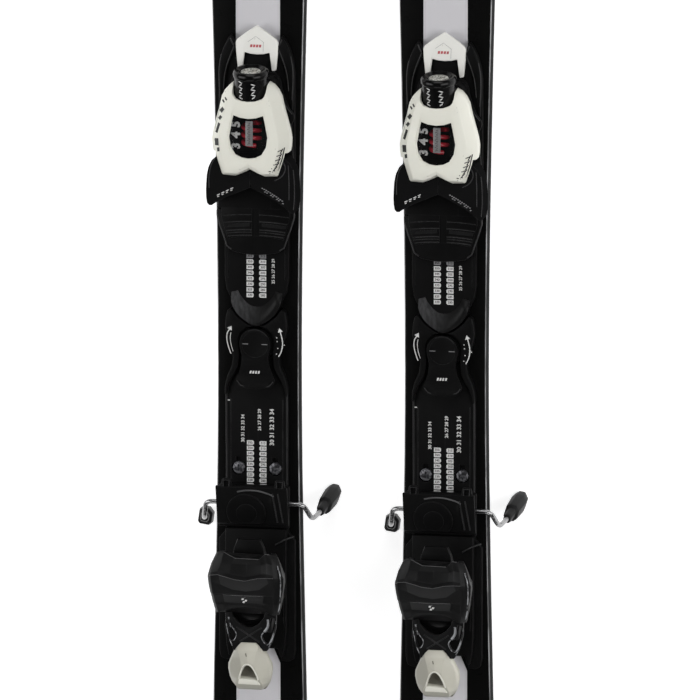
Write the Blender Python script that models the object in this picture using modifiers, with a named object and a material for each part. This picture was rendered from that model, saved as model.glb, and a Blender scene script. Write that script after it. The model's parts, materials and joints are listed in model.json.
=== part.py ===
"""A pair of alpine skis with adjustable demo bindings.

Metres, +Z up, +Y to the tips, +X to the right.  The origin is on the floor, under the
middle of the pair.  Every piece is drawn once, in the frame of one ski (X from its centre
line, Y from its mid-length, Z from the top sheet underfoot), and placed on both skis.
Outlines and positions of that frame are written in millimetres and scaled by MM.
"""

import math

import bmesh
import bpy
from mathutils import Matrix, Vector

MM = 0.001

# Driving dimensions, in millimetres
CORE_THICKNESS = 14.5        # underfoot, base included
END_THICKNESS = 6.5
CAMBER = 3.0
TIP_RISE = 58.0
TAIL_RISE = 13.0
SIDEWALL_SLOPE = 3.0         # how much narrower the top sheet is, each side
EDGE = (2.0, 1.8)            # steel edge, width and height
FOOT_REACH = 62.0            # top sheet to the lowest point of the brake feet
SKI_SPACING = 165.0          # between the two centre lines
SPLAY_OFFSET = 2.9           # centres the pair's box, because one brake arm is splayed wider
GAP = 0.3                    # between touching pieces

DECK = 6.0                   # height of the rails' running surface
SOLE_PLANE = 12.0            # height of the plane that the boot stands on
HUB_TOP = 11.0
COVER_TOP = 44.0
WING_TOP = 34.0
TOE_AXIS_FRONT = (232.0, 31.5)   # Y, Z of the release screw's face
TOE_TILT = math.radians(9.0)
WING_PIVOT = (17.0, 156.0)
LEVER_PIVOT = (0.0, -10.0)
BRAKE_AXLE = (-150.9, 9.0)       # Y, Z
PEDAL_PIVOT = (-168.0, 14.0)     # Y, Z
CUP_PIVOT = (-238.0, 28.0)       # Y, Z
WIRE_RADIUS = 2.4
SCREW_PLACES = (-16.1, 16.1)
SCREW_Y = -121.0

# Half-width of the base along the ski, (Y, half-width)
SIDECUT = [
    (-790, 34), (-782, 45), (-760, 51), (-735, 52.3), (-550, 47.8), (-326, 41.2),
    (-30, 36.8), (290, 41.4), (500, 49.2), (600, 54.8), (665, 58.6), (700, 57.6),
    (735, 51.5), (765, 39), (783, 23), (790, 8),
]


# Scene, materials and placing

def clear_scene():
    for item in list(bpy.data.objects):
        bpy.data.objects.remove(item, do_unlink=True)


def collection(name):
    made = bpy.data.collections.new(name)
    bpy.context.scene.collection.children.link(made)
    return made


def plastic(name, colour, roughness, metallic=0.0, transmission=0.0):
    material = bpy.data.materials.new(name)
    material.use_nodes = True
    shader = material.node_tree.nodes["Principled BSDF"]
    shader.inputs["Base Color"].default_value = (*colour, 1.0)
    shader.inputs["Roughness"].default_value = roughness
    shader.inputs["Metallic"].default_value = metallic
    shader.inputs["Transmission Weight"].default_value = transmission
    material.diffuse_color = (*colour, 1.0)
    return material


clear_scene()
PARTS = collection("alpine_skis_with_bindings")
CUTTERS = collection("cutters")


def ski_frame(name, x):
    frame = bpy.data.objects.new(name, None)
    frame.location = (x * MM, 0.0, FOOT_REACH * MM)
    PARTS.objects.link(frame)
    return frame


SKIS = {
    "left": ski_frame("left_frame", -SKI_SPACING / 2 - SPLAY_OFFSET),
    "right": ski_frame("right_frame", SKI_SPACING / 2 - SPLAY_OFFSET),
}


def evaluated_mesh(piece):
    """The piece's mesh in the ski's frame, with its modifiers applied."""
    bpy.context.view_layer.update()
    ready = piece.evaluated_get(bpy.context.evaluated_depsgraph_get())
    mesh = bpy.data.meshes.new_from_object(ready)
    mesh.transform(piece.matrix_world)
    return mesh


def place(name, piece, material, pivot=(0.0, 0.0, 0.0)):
    """Put the piece on both skis, with its origin on the pivot."""
    at = Vector(pivot) * MM
    mesh = evaluated_mesh(piece)
    mesh.transform(Matrix.Translation(-at))
    mesh.name = name
    mesh.materials.clear()
    mesh.materials.append(material)
    mesh.shade_smooth()
    mesh.set_sharp_from_angle(angle=math.radians(35))
    for side, frame in SKIS.items():
        copy = bpy.data.objects.new(f"{side}_{name}", mesh)
        PARTS.objects.link(copy)
        copy.parent = frame
        copy.location = at
    bpy.data.objects.remove(piece, do_unlink=True)


# Shapes

def object_from(name, bm):
    bmesh.ops.recalc_face_normals(bm, faces=bm.faces)
    mesh = bpy.data.meshes.new(name)
    bm.to_mesh(mesh)
    bm.free()
    made = bpy.data.objects.new(name, mesh)
    CUTTERS.objects.link(made)
    return made


def mirrored(half):
    """A symmetric outline, from the points of its right half taken front to back."""
    return half + [(-x, y) for x, y in reversed(half) if x > 0]


def welded(curve_object):
    """The curve's object as a closed mesh object."""
    mesh = evaluated_mesh(curve_object)
    bm = bmesh.new()
    bm.from_mesh(mesh)
    bmesh.ops.remove_doubles(bm, verts=bm.verts, dist=1e-5)
    name = curve_object.name
    bpy.data.objects.remove(curve_object, do_unlink=True)
    return object_from(name, bm)


def prism(name, outline, low, high, across=False):
    """A flat outline raised from low to high; across turns it into a (Y, Z) profile along X."""
    curve = bpy.data.curves.new(name, "CURVE")
    curve.dimensions = "2D"
    curve.fill_mode = "BOTH"
    curve.extrude = (high - low) / 2 * MM
    spline = curve.splines.new("POLY")
    spline.points.add(len(outline) - 1)
    for point, (x, y) in zip(spline.points, outline):
        point.co = (x * MM, y * MM, 0.0, 1.0)
    spline.use_cyclic_u = True
    flat = bpy.data.objects.new(name, curve)
    CUTTERS.objects.link(flat)
    middle = (high + low) / 2 * MM
    if across:
        flat.matrix_world = Matrix(((0, 0, 1, middle), (1, 0, 0, 0), (0, 1, 0, 0), (0, 0, 0, 1)))
    else:
        flat.location.z = middle
    return welded(flat)


def box(name, low, high):
    bm = bmesh.new()
    bmesh.ops.create_cube(bm, size=1.0)
    size = Vector(high) - Vector(low)
    bmesh.ops.scale(bm, vec=size * MM, verts=bm.verts)
    bmesh.ops.translate(bm, vec=(Vector(low) + size / 2) * MM, verts=bm.verts)
    return object_from(name, bm)


def rod(name, start, end, radius, sides=20):
    """A round bar between two points."""
    a, b = Vector(start), Vector(end)
    bm = bmesh.new()
    bmesh.ops.create_cone(
        bm, cap_ends=True, segments=sides, radius1=radius * MM, radius2=radius * MM,
        depth=(b - a).length * MM,
    )
    turn = (b - a).to_track_quat("Z", "Y").to_matrix().to_4x4()
    bmesh.ops.transform(bm, matrix=Matrix.Translation((a + b) / 2 * MM) @ turn, verts=bm.verts)
    return object_from(name, bm)


def loft(name, sections):
    """A closed skin over sections that have the same number of points, each taken in order."""
    bm = bmesh.new()
    rings = [[bm.verts.new(Vector(p) * MM) for p in section] for section in sections]
    count = len(rings[0])
    for ring, following in zip(rings, rings[1:]):
        for i in range(count):
            j = (i + 1) % count
            bm.faces.new((ring[i], ring[j], following[j], following[i]))
    bm.faces.new(rings[0])
    bm.faces.new(rings[-1])
    return object_from(name, bm)


def stack(name, levels):
    """A loft of flat outlines, each given with its height."""
    return loft(name, [[(x, y, z) for x, y in outline] for z, outline in levels])


def tube(name, points, radius, resolution=2):
    """A wire through the points, with flat ends."""
    curve = bpy.data.curves.new(name, "CURVE")
    curve.dimensions = "3D"
    curve.bevel_depth = radius * MM
    curve.bevel_resolution = resolution
    curve.use_fill_caps = True
    spline = curve.splines.new("POLY")
    spline.points.add(len(points) - 1)
    for point, place_ in zip(spline.points, points):
        point.co = (*(Vector(place_) * MM), 1.0)
    wire = bpy.data.objects.new(name, curve)
    CUTTERS.objects.link(wire)
    return welded(wire)


def rounded_path(corners, radius, steps=4):
    """The corners joined by straight runs, each inner corner rounded by a quadratic arc."""
    points = [Vector(corners[0])]
    for before, here, after in zip(corners, corners[1:], corners[2:]):
        before, here, after = Vector(before), Vector(here), Vector(after)
        start = here + (before - here).normalized() * radius
        end = here + (after - here).normalized() * radius
        for k in range(steps + 1):
            t = k / steps
            points.append(start * (1 - t) ** 2 + here * 2 * t * (1 - t) + end * t ** 2)
    points.append(Vector(corners[-1]))
    return points


def join(piece, tool, operation):
    """Boolean of the piece with a tool, which stays in the cutters' collection."""
    tool.hide_render = True
    tool.display_type = "WIRE"
    modifier = piece.modifiers.new(tool.name, "BOOLEAN")
    modifier.operation = operation
    modifier.object = tool
    return piece


def cut(piece, *tools):
    for tool in tools:
        join(piece, tool, "DIFFERENCE")
    return piece


def add(piece, *tools):
    for tool in tools:
        join(piece, tool, "UNION")
    return piece


def soften(piece, width, segments=1, angle=40.0):
    """Round off the edges that are sharper than the angle."""
    bevel = piece.modifiers.new("soften", "BEVEL")
    bevel.width = width * MM
    bevel.segments = segments
    bevel.limit_method = "ANGLE"
    bevel.angle_limit = math.radians(angle)
    return piece


def baked(piece):
    """The same piece with its modifiers applied."""
    mesh = evaluated_mesh(piece)
    name = piece.name
    bpy.data.objects.remove(piece, do_unlink=True)
    made = bpy.data.objects.new(name, mesh)
    CUTTERS.objects.link(made)
    return made


def smooth_step(t):
    t = min(1.0, max(0.0, t))
    return t * t * (3 - 2 * t)


# The ski

def half_width(y):
    """Half-width of the base at y: a cubic through the sidecut's points."""
    spans = list(zip(SIDECUT, SIDECUT[1:]))
    index = next((i for i, (a, b) in enumerate(spans) if y <= b[0]), len(spans) - 1)

    def slope(i):
        a = SIDECUT[max(0, i - 1)]
        b = SIDECUT[min(len(SIDECUT) - 1, i + 1)]
        return (b[1] - a[1]) / (b[0] - a[0])

    (y0, w0), (y1, w1) = spans[index]
    run = y1 - y0
    t = (y - y0) / run
    return (
        (2 * t ** 3 - 3 * t ** 2 + 1) * w0 + (t ** 3 - 2 * t ** 2 + t) * run * slope(index)
        + (-2 * t ** 3 + 3 * t ** 2) * w1 + (t ** 3 - t ** 2) * run * slope(index + 1)
    )


def base_height(y):
    """Underside of the ski: cambered, turned up at the tip and a little at the tail."""
    drop = CAMBER * smooth_step((abs(y) - 320) / 300)
    tip = TIP_RISE * max(0.0, (y - 610) / 180) ** 2
    tail = TAIL_RISE * max(0.0, (-y - 700) / 90) ** 2
    return -CORE_THICKNESS - drop + tip + tail


def thickness(y):
    return CORE_THICKNESS + (END_THICKNESS - CORE_THICKNESS) * smooth_step((abs(y) - 300) / 340)


BODY_STATIONS = [
    -790, -786, -775, -755, -730, -690, -620, -530, -430, -330, -180, -30, 130,
    290, 390, 480, 560, 620, 660, 695, 725, 750, 768, 781, 788, 790,
]
EDGE_STATIONS = [
    -776, -755, -730, -690, -620, -530, -430, -330, -180, -30, 130,
    290, 390, 480, 560, 620, 660, 695, 722,
]


def ski_body():
    """Core, sidewalls and top sheet, over the base and between the edges."""
    sections = []
    for y in BODY_STATIONS:
        wide, low, top = half_width(y), base_height(y), base_height(y) + thickness(y)
        narrow = wide - min(SIDEWALL_SLOPE, wide * 0.3)
        floor = low + EDGE[1] + GAP
        right = [(wide, y, floor), (narrow + 0.4, y, top - 1.0), (narrow - 0.8, y, top)]
        sections.append(right + [(-x, y, z) for x, y, z in reversed(right)])
    return loft("ski_body", sections)


def running_base():
    sections = []
    for y in EDGE_STATIONS:
        wide, low = half_width(y) - EDGE[0] - GAP, base_height(y)
        high = low + EDGE[1]
        sections.append([(wide, y, low), (wide, y, high), (-wide, y, high), (-wide, y, low)])
    return loft("running_base", sections)


def steel_edge(side):
    sections = []
    for y in EDGE_STATIONS:
        outer, low = half_width(y) * side, base_height(y)
        inner, high = outer - EDGE[0] * side, low + EDGE[1]
        sections.append([(outer, y, low), (outer, y, high), (inner, y, high), (inner, y, low)])
    return loft("edge", sections)


# The plate that carries the binding

def front_rail():
    outline = mirrored([
        (12, 262), (21, 260.5), (30, 249), (33.7, 236), (33.7, 112), (28.5, 100),
        (28.5, 37), (21.5, 35.3), (0, 23.3),
    ])
    return soften(prism("front_rail", outline, GAP, DECK), 1.2)


def rear_rail():
    """The rear running surface and, in front of it, the raised hub of the length adjustment."""
    outline = mirrored([(27.6, -45), (27.6, -176), (33.7, -184), (33.7, -280), (27, -291)])
    rail = prism("rear_rail", outline, GAP, DECK)
    hub_outline = mirrored([
        (0, 22.7), (21, 34.5), (27, 29), (27, 5), (21, -8), (17.5, -24), (21, -38), (27.6, -52),
    ])
    hub = baked(soften(prism("hub", hub_outline, GAP, HUB_TOP), 1.5))
    holes = [
        rod("screw_hole", (x, SCREW_Y, -1), (x, SCREW_Y, DECK + 1), 5.7) for x in SCREW_PLACES
    ]
    return cut(add(soften(rail, 1.0), hub), *holes)


def rail_screw(x):
    head = rod("rail_screw", (x, SCREW_Y, 2.6), (x, SCREW_Y, 5.6), 5.3)
    shank = rod("shank", (x, SCREW_Y, 0.4), (x, SCREW_Y, 3.0), 2.6, 12)
    slot = box("slot", (x - 3.4, SCREW_Y - 0.6, 4.4), (x + 3.4, SCREW_Y + 0.6, 6.5))
    return cut(add(head, shank), slot)


def front_cap():
    outline = mirrored([
        (0, 269), (18.8, 257), (18.8, 231), (13.2, 230), (12.4, 234), (10.6, 244.5),
    ])
    return soften(prism("front_cap", outline, DECK + GAP, DECK + 3.6), 1.0, 2)


def plate_lever():
    """A round head with a flared handle, lying on the hub."""
    outline = [(14.5 * math.sin(a), LEVER_PIVOT[1] + 14.5 * math.cos(a))
               for a in [math.radians(d) for d in range(0, 120, 15)]]
    outline += [(13.4, -22.5), (14.6, -31), (16.6, -41), (13, -46.5), (6, -48.5)]
    lever = prism("plate_lever", mirrored(outline), HUB_TOP + GAP, HUB_TOP + 4.2)
    return soften(lever, 0.8)


# The toe

def toe_base():
    outline = mirrored([
        (14, 222), (26, 214), (27.5, 200), (30, 170), (33, 150), (33, 108), (27.5, 84), (23, 74),
        (10, 68.5),
    ])
    plate = soften(prism("toe_base", outline, DECK + GAP, SOLE_PLANE), 1.0)
    return cut(plate, box("pad_seat", (-50, 40, 9), (50, 109, 20)))


def toe_axis(distance):
    """A point on the release screw's axis, this far behind its face."""
    y, z = TOE_AXIS_FRONT
    return (0.0, y - distance * math.cos(TOE_TILT), z - distance * math.sin(TOE_TILT))


def toe_housing():
    """Spring chamber under the cover, with the round nose that the release screw sits in."""
    outline = mirrored([(13, 213), (21, 205), (23, 190), (24, 163.5)])
    block = prism("toe_housing", outline, SOLE_PLANE + GAP, 37.0)
    nose = rod("nose", toe_axis(0), toe_axis(23), 14.5, 24)
    chamber = box("chamber", (-15.5, 166, 17), (15.5, 197, 50))
    bore = rod("bore", toe_axis(1), toe_axis(45), 4.6, 16)
    recess = rod("recess", toe_axis(-1), toe_axis(4), 10.3)
    return cut(add(soften(block, 1.0), nose), chamber, bore, recess)


COVER_OUTLINE = [
    (14.6, 223.5), (22.8, 216.5), (25.6, 211), (28, 200), (30.7, 190.5), (34, 177),
    (34.3, 172), (32.5, 160), (30, 152), (26.5, 141.5), (14, 140.5), (0, 146.5),
]
WINDOW_OUTLINE = [(0, 194), (13, 196.4), (16.8, 178), (12.4, 162), (0, 158.8)]


def scaled(outline, factor, centre_y):
    return [(x * factor, centre_y + (y - centre_y) * factor) for x, y in outline]


def toe_cover():
    """White shell over the toe: vertical skirt, sloping band and flat crown with a window."""
    middle = 180
    full = mirrored(COVER_OUTLINE)
    shell = stack("toe_cover", [
        (19, full), (31, full), (COVER_TOP - 3, scaled(full, 0.84, middle)),
        (COVER_TOP, scaled(full, 0.72, middle)),
    ])
    hollow = stack("hollow", [
        (10, scaled(full, 0.925, middle)), (30, scaled(full, 0.925, middle)),
        (COVER_TOP - 3 - 2.2, scaled(full, 0.78, middle)), (COVER_TOP - 2.4, scaled(full, 0.70, middle)),
    ])
    mouth = rod("mouth", toe_axis(-20), toe_axis(23.5), 15.2, 24)
    gap = box("mouth_gap", (-15.2, 205, 5), (15.2, 240, 30))
    sill = box("wing_space", (-50, 100, 5), (50, 163, WING_TOP + 0.6))
    window = prism("window_hole", mirrored(WINDOW_OUTLINE), 38, 50)
    return cut(shell, hollow, mouth, gap, sill, window)


def toe_window():
    return prism("toe_window", scaled(mirrored(WINDOW_OUTLINE), 0.975, 178), 42.0, 43.7)


def toe_spring():
    turns, per_turn, radius, start, end = 4, 12, 8.2, 168.2, 190.0
    total = turns * per_turn
    points = []
    for k in range(total + 1):
        angle = 2 * math.pi * k / per_turn
        points.append((
            radius * math.cos(angle), start + (end - start) * k / total, 28 + radius * math.sin(angle),
        ))
    return tube("toe_spring", points, 1.25)


def toe_indicator():
    return soften(box("toe_indicator", (-3.2, 169, 38.3), (3.2, 191, 39.6)), 0.3)


def toe_screw():
    head = rod("toe_screw", toe_axis(-0.8), toe_axis(3.6), 9.75, 24)
    shaft = rod("shaft", toe_axis(3), toe_axis(36), 4.0, 12)
    y, z = TOE_AXIS_FRONT
    slot = box("slot", (-6.5, y - 1.2, z - 1), (6.5, y + 4, z + 1))
    return cut(add(soften(head, 0.8), shaft), slot)


def toe_wing(side):
    """Half of the boot's toe clamp: front wall, side wall and the roof over the sole."""
    outline = [
        (GAP, 155.7), (GAP, 130), (10, 125.5), (22.8, 119.5), (30.2, 113.4), (36.8, 107.6), (39, 110),
        (39.5, 131), (38.9, 141), (36.9, 149), (32.5, 156.5), (26, 159), (17, 160.5), (8, 158.5),
    ]
    outline = [(x * side, y) for x, y in outline]
    wing = soften(prism("toe_wing", outline, SOLE_PLANE + GAP, WING_TOP), 1.2)
    low, high = sorted((-1.0 * side, 30.5 * side))
    return cut(wing, box("sole_space", (low, 90, 5), (high, 138, 29)))


def afd_plate():
    outline = mirrored([(34.5, 107), (34.5, 102), (29.2, 85.5), (25.5, 74.5), (19, 70.3), (0, 68)])
    return soften(prism("afd_plate", outline, 9 + GAP, SOLE_PLANE), 0.7)


# The brake

def brake_base():
    block = soften(box("brake_base", (-32.5, -172, DECK + GAP), (32.5, -135, 11.4)), 0.8)
    y, z = BRAKE_AXLE
    channel = box("channel", (-40, y - WIRE_RADIUS - GAP, z - 2.65), (40, y + WIRE_RADIUS + GAP, 20))
    return cut(block, channel)


def brake_wire():
    """One bent steel wire: the right arm is splayed forwards, the left one hangs straight."""
    y, z = BRAKE_AXLE
    corners = [
        (-50.6, -169.5, -18), (-48.6, -168, -3), (-44.5, y, z), (43.5, y, z),
        (48.9, -166.2, -4), (50.9, -163.6, -24),
    ]
    return tube("brake_wire", rounded_path(corners, 6.0), WIRE_RADIUS)


def brake_foot(top, tip, spread):
    """A flat plastic blade from the wire's end to its tip, spread wide in the middle."""
    a, b = Vector(top), Vector(tip)
    sections = []
    ahead = Vector(spread)
    across = Vector((0, 0, 1)).cross(ahead).normalized()
    shape = ((0, 4.2, 3.6), (0.12, 4.6, 4), (0.35, 7.0, 3.6), (0.75, 6.6, 3), (1, 3.4, 2))
    for t, width, depth in shape:
        centre = a.lerp(b, t)
        sections.append([
            centre + ahead * width + across * depth, centre - ahead * width + across * depth,
            centre - ahead * width - across * depth, centre + ahead * width - across * depth,
        ])
    return soften(loft("brake_foot", sections), 0.8)


def brake_pedal():
    """The plate that the boot presses, raised at its front edge."""
    profile = [
        (-167.5, 12.4), (-169.5, 14), (-168.5, 16.4), (-134.6, 24.4), (-133.6, 22.8), (-134.4, 20.6),
    ]
    plate = soften(prism("brake_pedal", profile, -31.4, 31.4, across=True), 0.6)
    return add(plate, *[
        box("tab", (low, -136, 20.8), (low + 9.4, -127.6, 23.4)) for low in (-28.2, 18.8)
    ])


# The heel

def heel_base():
    outline = mirrored([(27, -173), (27, -262), (22, -286)])
    return soften(prism("heel_base", outline, DECK + GAP, SOLE_PLANE), 1.0)


def heel_housing():
    profile = [
        (-206, SOLE_PLANE + GAP), (-206, 21), (-214, 32), (-226, 38.5), (-240, 40), (-254, 36),
        (-262, 26), (-263, SOLE_PLANE + GAP),
    ]
    return soften(prism("heel_housing", profile, -16.5, 16.5, across=True), 1.5)


def arch(y, half, foot, top, wall):
    """A section of the cup at y: a round-shouldered arch of the given wall."""
    steps = 8

    def side(reach, rise):
        points = []
        for k in range(steps + 1):
            angle = math.pi * k / steps
            c, s = math.cos(angle), math.sin(angle)
            x = reach * math.copysign(abs(c) ** 0.7, c)
            points.append((x, y, foot + (rise - foot) * s ** 0.7))
        return points

    return side(half, top) + list(reversed(side(half - wall, top - wall)))


def heel_cup():
    """Shell over the boot's heel, with its front wall, the tongue underfoot and two cheeks."""
    shell = loft("heel_cup", [
        arch(-188, 26.5, 42, 52, 3.5), arch(-196, 31, 38, 58, 4), arch(-207, 34, 33, 62, 4.5),
        arch(-222, 31.5, 24, 60.5, 4.5), arch(-234, 29.5, 20, 56.5, 4.5),
        arch(-242, 28.5, 20, 52, 4.5),
    ])
    wall_outline = mirrored([(0, 60), (18, 57), (27, 50), (29, 42), (22, 36), (10, 37)])
    wall = prism("wall", [(x, z) for x, z in wall_outline], 0, 3.5)
    wall.matrix_world = Matrix(((1, 0, 0, 0), (0, 0, -1, -195 * MM), (0, 1, 0, 0), (0, 0, 0, 1)))
    tongue_profile = [(-177.5, 42), (-178.5, 39), (-198, 33.5), (-199.5, 39.5)]
    tongue = prism("tongue", tongue_profile, -10.5, 10.5, across=True)
    return add(shell, wall, tongue)


def heel_lever():
    """Frame of the opening lever: two legs on the pivot and a plate with two openings."""
    y, z = CUP_PIVOT
    plate_profile = [(-249, 42), (-249.5, 46), (-259, 45.5), (-270, 42), (-270, 37), (-259, 41)]
    plate = prism("heel_lever", plate_profile, -21.5, 21.5, across=True)
    leg_profile = [
        (y + 7, z), (y + 5, z + 5), (y - 3, z + 6.5), (-250.5, 44.6), (-258, 43.4), (-250, z),
        (y - 5, z - 6), (y + 2, z - 7),
    ]
    legs = [prism("leg", leg_profile, low, low + 3.6, across=True) for low in (-20.5, 16.9)]
    holes = [
        prism("opening", [(s * 17, -252), (s * 10, -252.5), (s * 8.5, -257), (s * 17, -266.5)], 30, 55)
        for s in (-1, 1)
    ]
    return cut(add(plate, *legs), *holes)


def heel_grip():
    def section(y, half, low, high):
        return [
            (half, y, low + 3), (half, y, high - 5), (half * 0.62, y, high),
            (-half * 0.62, y, high), (-half, y, high - 5), (-half, y, low + 3),
            (-half * 0.7, y, low), (half * 0.7, y, low),
        ]

    return loft("heel_grip", [
        section(-270.3, 12.5, 33, 44), section(-276, 16, 31, 46), section(-285, 18.4, 28, 46),
        section(-296, 17.8, 26, 42), section(-304, 15.5, 26, 37), section(-309, 11, 27, 34),
    ])


# Assembly

def build():
    black = plastic("moulded_black", (0.02, 0.02, 0.022), 0.45)
    top_sheet = plastic("top_sheet_black", (0.015, 0.015, 0.017), 0.25)
    base_black = plastic("sintered_base", (0.03, 0.03, 0.03), 0.5)
    white = plastic("moulded_white", (0.80, 0.78, 0.70), 0.35)
    steel = plastic("bright_steel", (0.72, 0.72, 0.74), 0.25, metallic=1.0)
    red = plastic("red_spring_steel", (0.65, 0.03, 0.03), 0.35)
    clear = plastic("clear_window", (0.95, 0.95, 0.95), 0.05, transmission=0.9)
    pad = plastic("low_friction_pad", (0.03, 0.03, 0.032), 0.3)

    place("ski_body", ski_body(), top_sheet)
    place("running_base", running_base(), base_black)
    place("edge_left", steel_edge(-1), steel)
    place("edge_right", steel_edge(1), steel)

    place("front_rail", front_rail(), black)
    place("rear_rail", rear_rail(), black)
    place("front_cap", front_cap(), white)
    place("plate_lever", plate_lever(), black, (*LEVER_PIVOT, HUB_TOP))
    for side, x in zip(("left", "right"), SCREW_PLACES):
        place(f"rail_screw_{side}", rail_screw(x), black, (x, SCREW_Y, 0))

    place("toe_base", toe_base(), black)
    place("toe_housing", toe_housing(), black)
    place("toe_cover", toe_cover(), white)
    place("toe_window", toe_window(), clear)
    place("toe_spring", toe_spring(), red)
    place("toe_indicator", toe_indicator(), steel)
    place("toe_screw", toe_screw(), steel, toe_axis(0))
    for side, sign in (("left", -1), ("right", 1)):
        pivot = (sign * WING_PIVOT[0], WING_PIVOT[1], SOLE_PLANE)
        place(f"toe_wing_{side}", toe_wing(sign), black, pivot)
    place("afd_plate", afd_plate(), pad)

    place("brake_base", brake_base(), black)
    place("brake_wire", brake_wire(), steel, (0, *BRAKE_AXLE))
    left_foot = brake_foot((-50.7, -169.5, -18.9), (-52.2, -169.5, -FOOT_REACH), (0.15, 1, 0))
    right_foot = brake_foot((51.1, -163.4, -25.0), (58.2, -150.5, -FOOT_REACH + 1), (0.3, 0.95, 0))
    place("brake_foot_left", left_foot, black, (0, *BRAKE_AXLE))
    place("brake_foot_right", right_foot, black, (0, *BRAKE_AXLE))
    place("brake_pedal", brake_pedal(), black, (0, *PEDAL_PIVOT))

    place("heel_base", heel_base(), black)
    place("heel_housing", heel_housing(), black)
    place("heel_cup", heel_cup(), black, (0, *CUP_PIVOT))
    place("heel_lever", heel_lever(), black, (0, *CUP_PIVOT))
    place("heel_grip", heel_grip(), white, (0, *CUP_PIVOT))


build()
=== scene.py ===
"""Looks of a pair of alpine skis with demo bindings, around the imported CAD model.

Every piece is drawn once, in the frame of one ski, and dress() puts it on both skis.  In that
frame X runs from the ski's centre line, Y from its mid-length to the tip, and Z from the top
sheet underfoot.  Its lengths are in millimetres and are scaled by MM when a mesh is made.
"""

import json
import math

import bmesh
import bpy
from mathutils import Matrix, Vector
from mathutils.bvhtree import BVHTree

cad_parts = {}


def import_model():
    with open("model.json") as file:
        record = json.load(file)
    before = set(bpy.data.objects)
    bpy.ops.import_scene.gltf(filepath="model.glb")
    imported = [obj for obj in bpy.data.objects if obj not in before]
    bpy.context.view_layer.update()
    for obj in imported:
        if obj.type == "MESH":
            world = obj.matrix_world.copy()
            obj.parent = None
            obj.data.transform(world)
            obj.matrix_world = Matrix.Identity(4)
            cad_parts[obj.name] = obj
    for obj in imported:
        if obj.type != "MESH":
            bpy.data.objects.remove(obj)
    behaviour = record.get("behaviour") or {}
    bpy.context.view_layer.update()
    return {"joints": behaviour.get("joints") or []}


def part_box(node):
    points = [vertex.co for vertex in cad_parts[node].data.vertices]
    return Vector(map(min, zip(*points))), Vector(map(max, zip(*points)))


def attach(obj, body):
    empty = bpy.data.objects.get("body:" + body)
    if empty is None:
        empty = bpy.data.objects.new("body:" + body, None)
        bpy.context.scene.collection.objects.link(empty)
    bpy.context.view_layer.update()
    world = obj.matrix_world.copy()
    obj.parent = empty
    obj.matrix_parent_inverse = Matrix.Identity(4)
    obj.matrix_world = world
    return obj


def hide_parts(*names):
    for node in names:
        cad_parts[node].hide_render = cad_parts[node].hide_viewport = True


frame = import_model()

MM = 0.001
GAP = 0.3                                # between touching CAD pieces


# The frame: where the CAD pieces are, in the frame of one ski

def ski_origin(side):
    low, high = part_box(f"{side}_running_base")
    rail_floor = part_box(f"{side}_front_rail")[0].z
    return Vector(((low.x + high.x) / 2, 0.0, rail_floor - GAP * MM))


ORIGIN = {side: ski_origin(side) for side in ("left", "right")}


def span(node):
    """Lowest and highest corner of a node of the left ski, in that ski's frame."""
    return [(corner - ORIGIN["left"]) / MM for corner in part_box(f"left_{node}")]


def pivot(joint):
    """Where a joint of the left ski turns, in that ski's frame."""
    found = next(j for j in frame["joints"] if j["name"] == f"left_{joint}")
    return (Vector(found["pos_m"]) - ORIGIN["left"]) / MM


HALF_LENGTH = span("ski_body")[1].y
DECK = span("front_rail")[1].z           # running surface of the rails
HUB_TOP = span("rear_rail")[1].z
LEVER_TOP = span("plate_lever")[1].z
LEVER_HEAD = 13.6                        # radius of the lever's round head
CAP_TOP = span("front_cap")[1].z
SOLE_PLANE = span("afd_plate")[1].z      # the plane that the boot stands on
COVER_TOP = span("toe_cover")[1].z
WING_TOP = span("toe_wing_left")[1].z
FLOOR = -ORIGIN["left"].z / MM
LEVER_PIVOT = pivot("length_lever_turn")
SCREW_FACE = pivot("release_screw_turn")
AXLE = pivot("brake_fold")
CUP_PIVOT = pivot("heel_close")
TOE_TILT = math.radians(9)
WIRE_RADIUS = span("brake_wire")[1].z - AXLE.z
RAIL_SCREW_X = sum(corner.x for corner in span("rail_screw_right")) / 2
RAIL_SCREW_Y = sum(corner.y for corner in span("rail_screw_right")) / 2

PIECES = bpy.data.collections.new("pieces")
bpy.context.scene.collection.children.link(PIECES)


# Shader nodes

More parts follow.
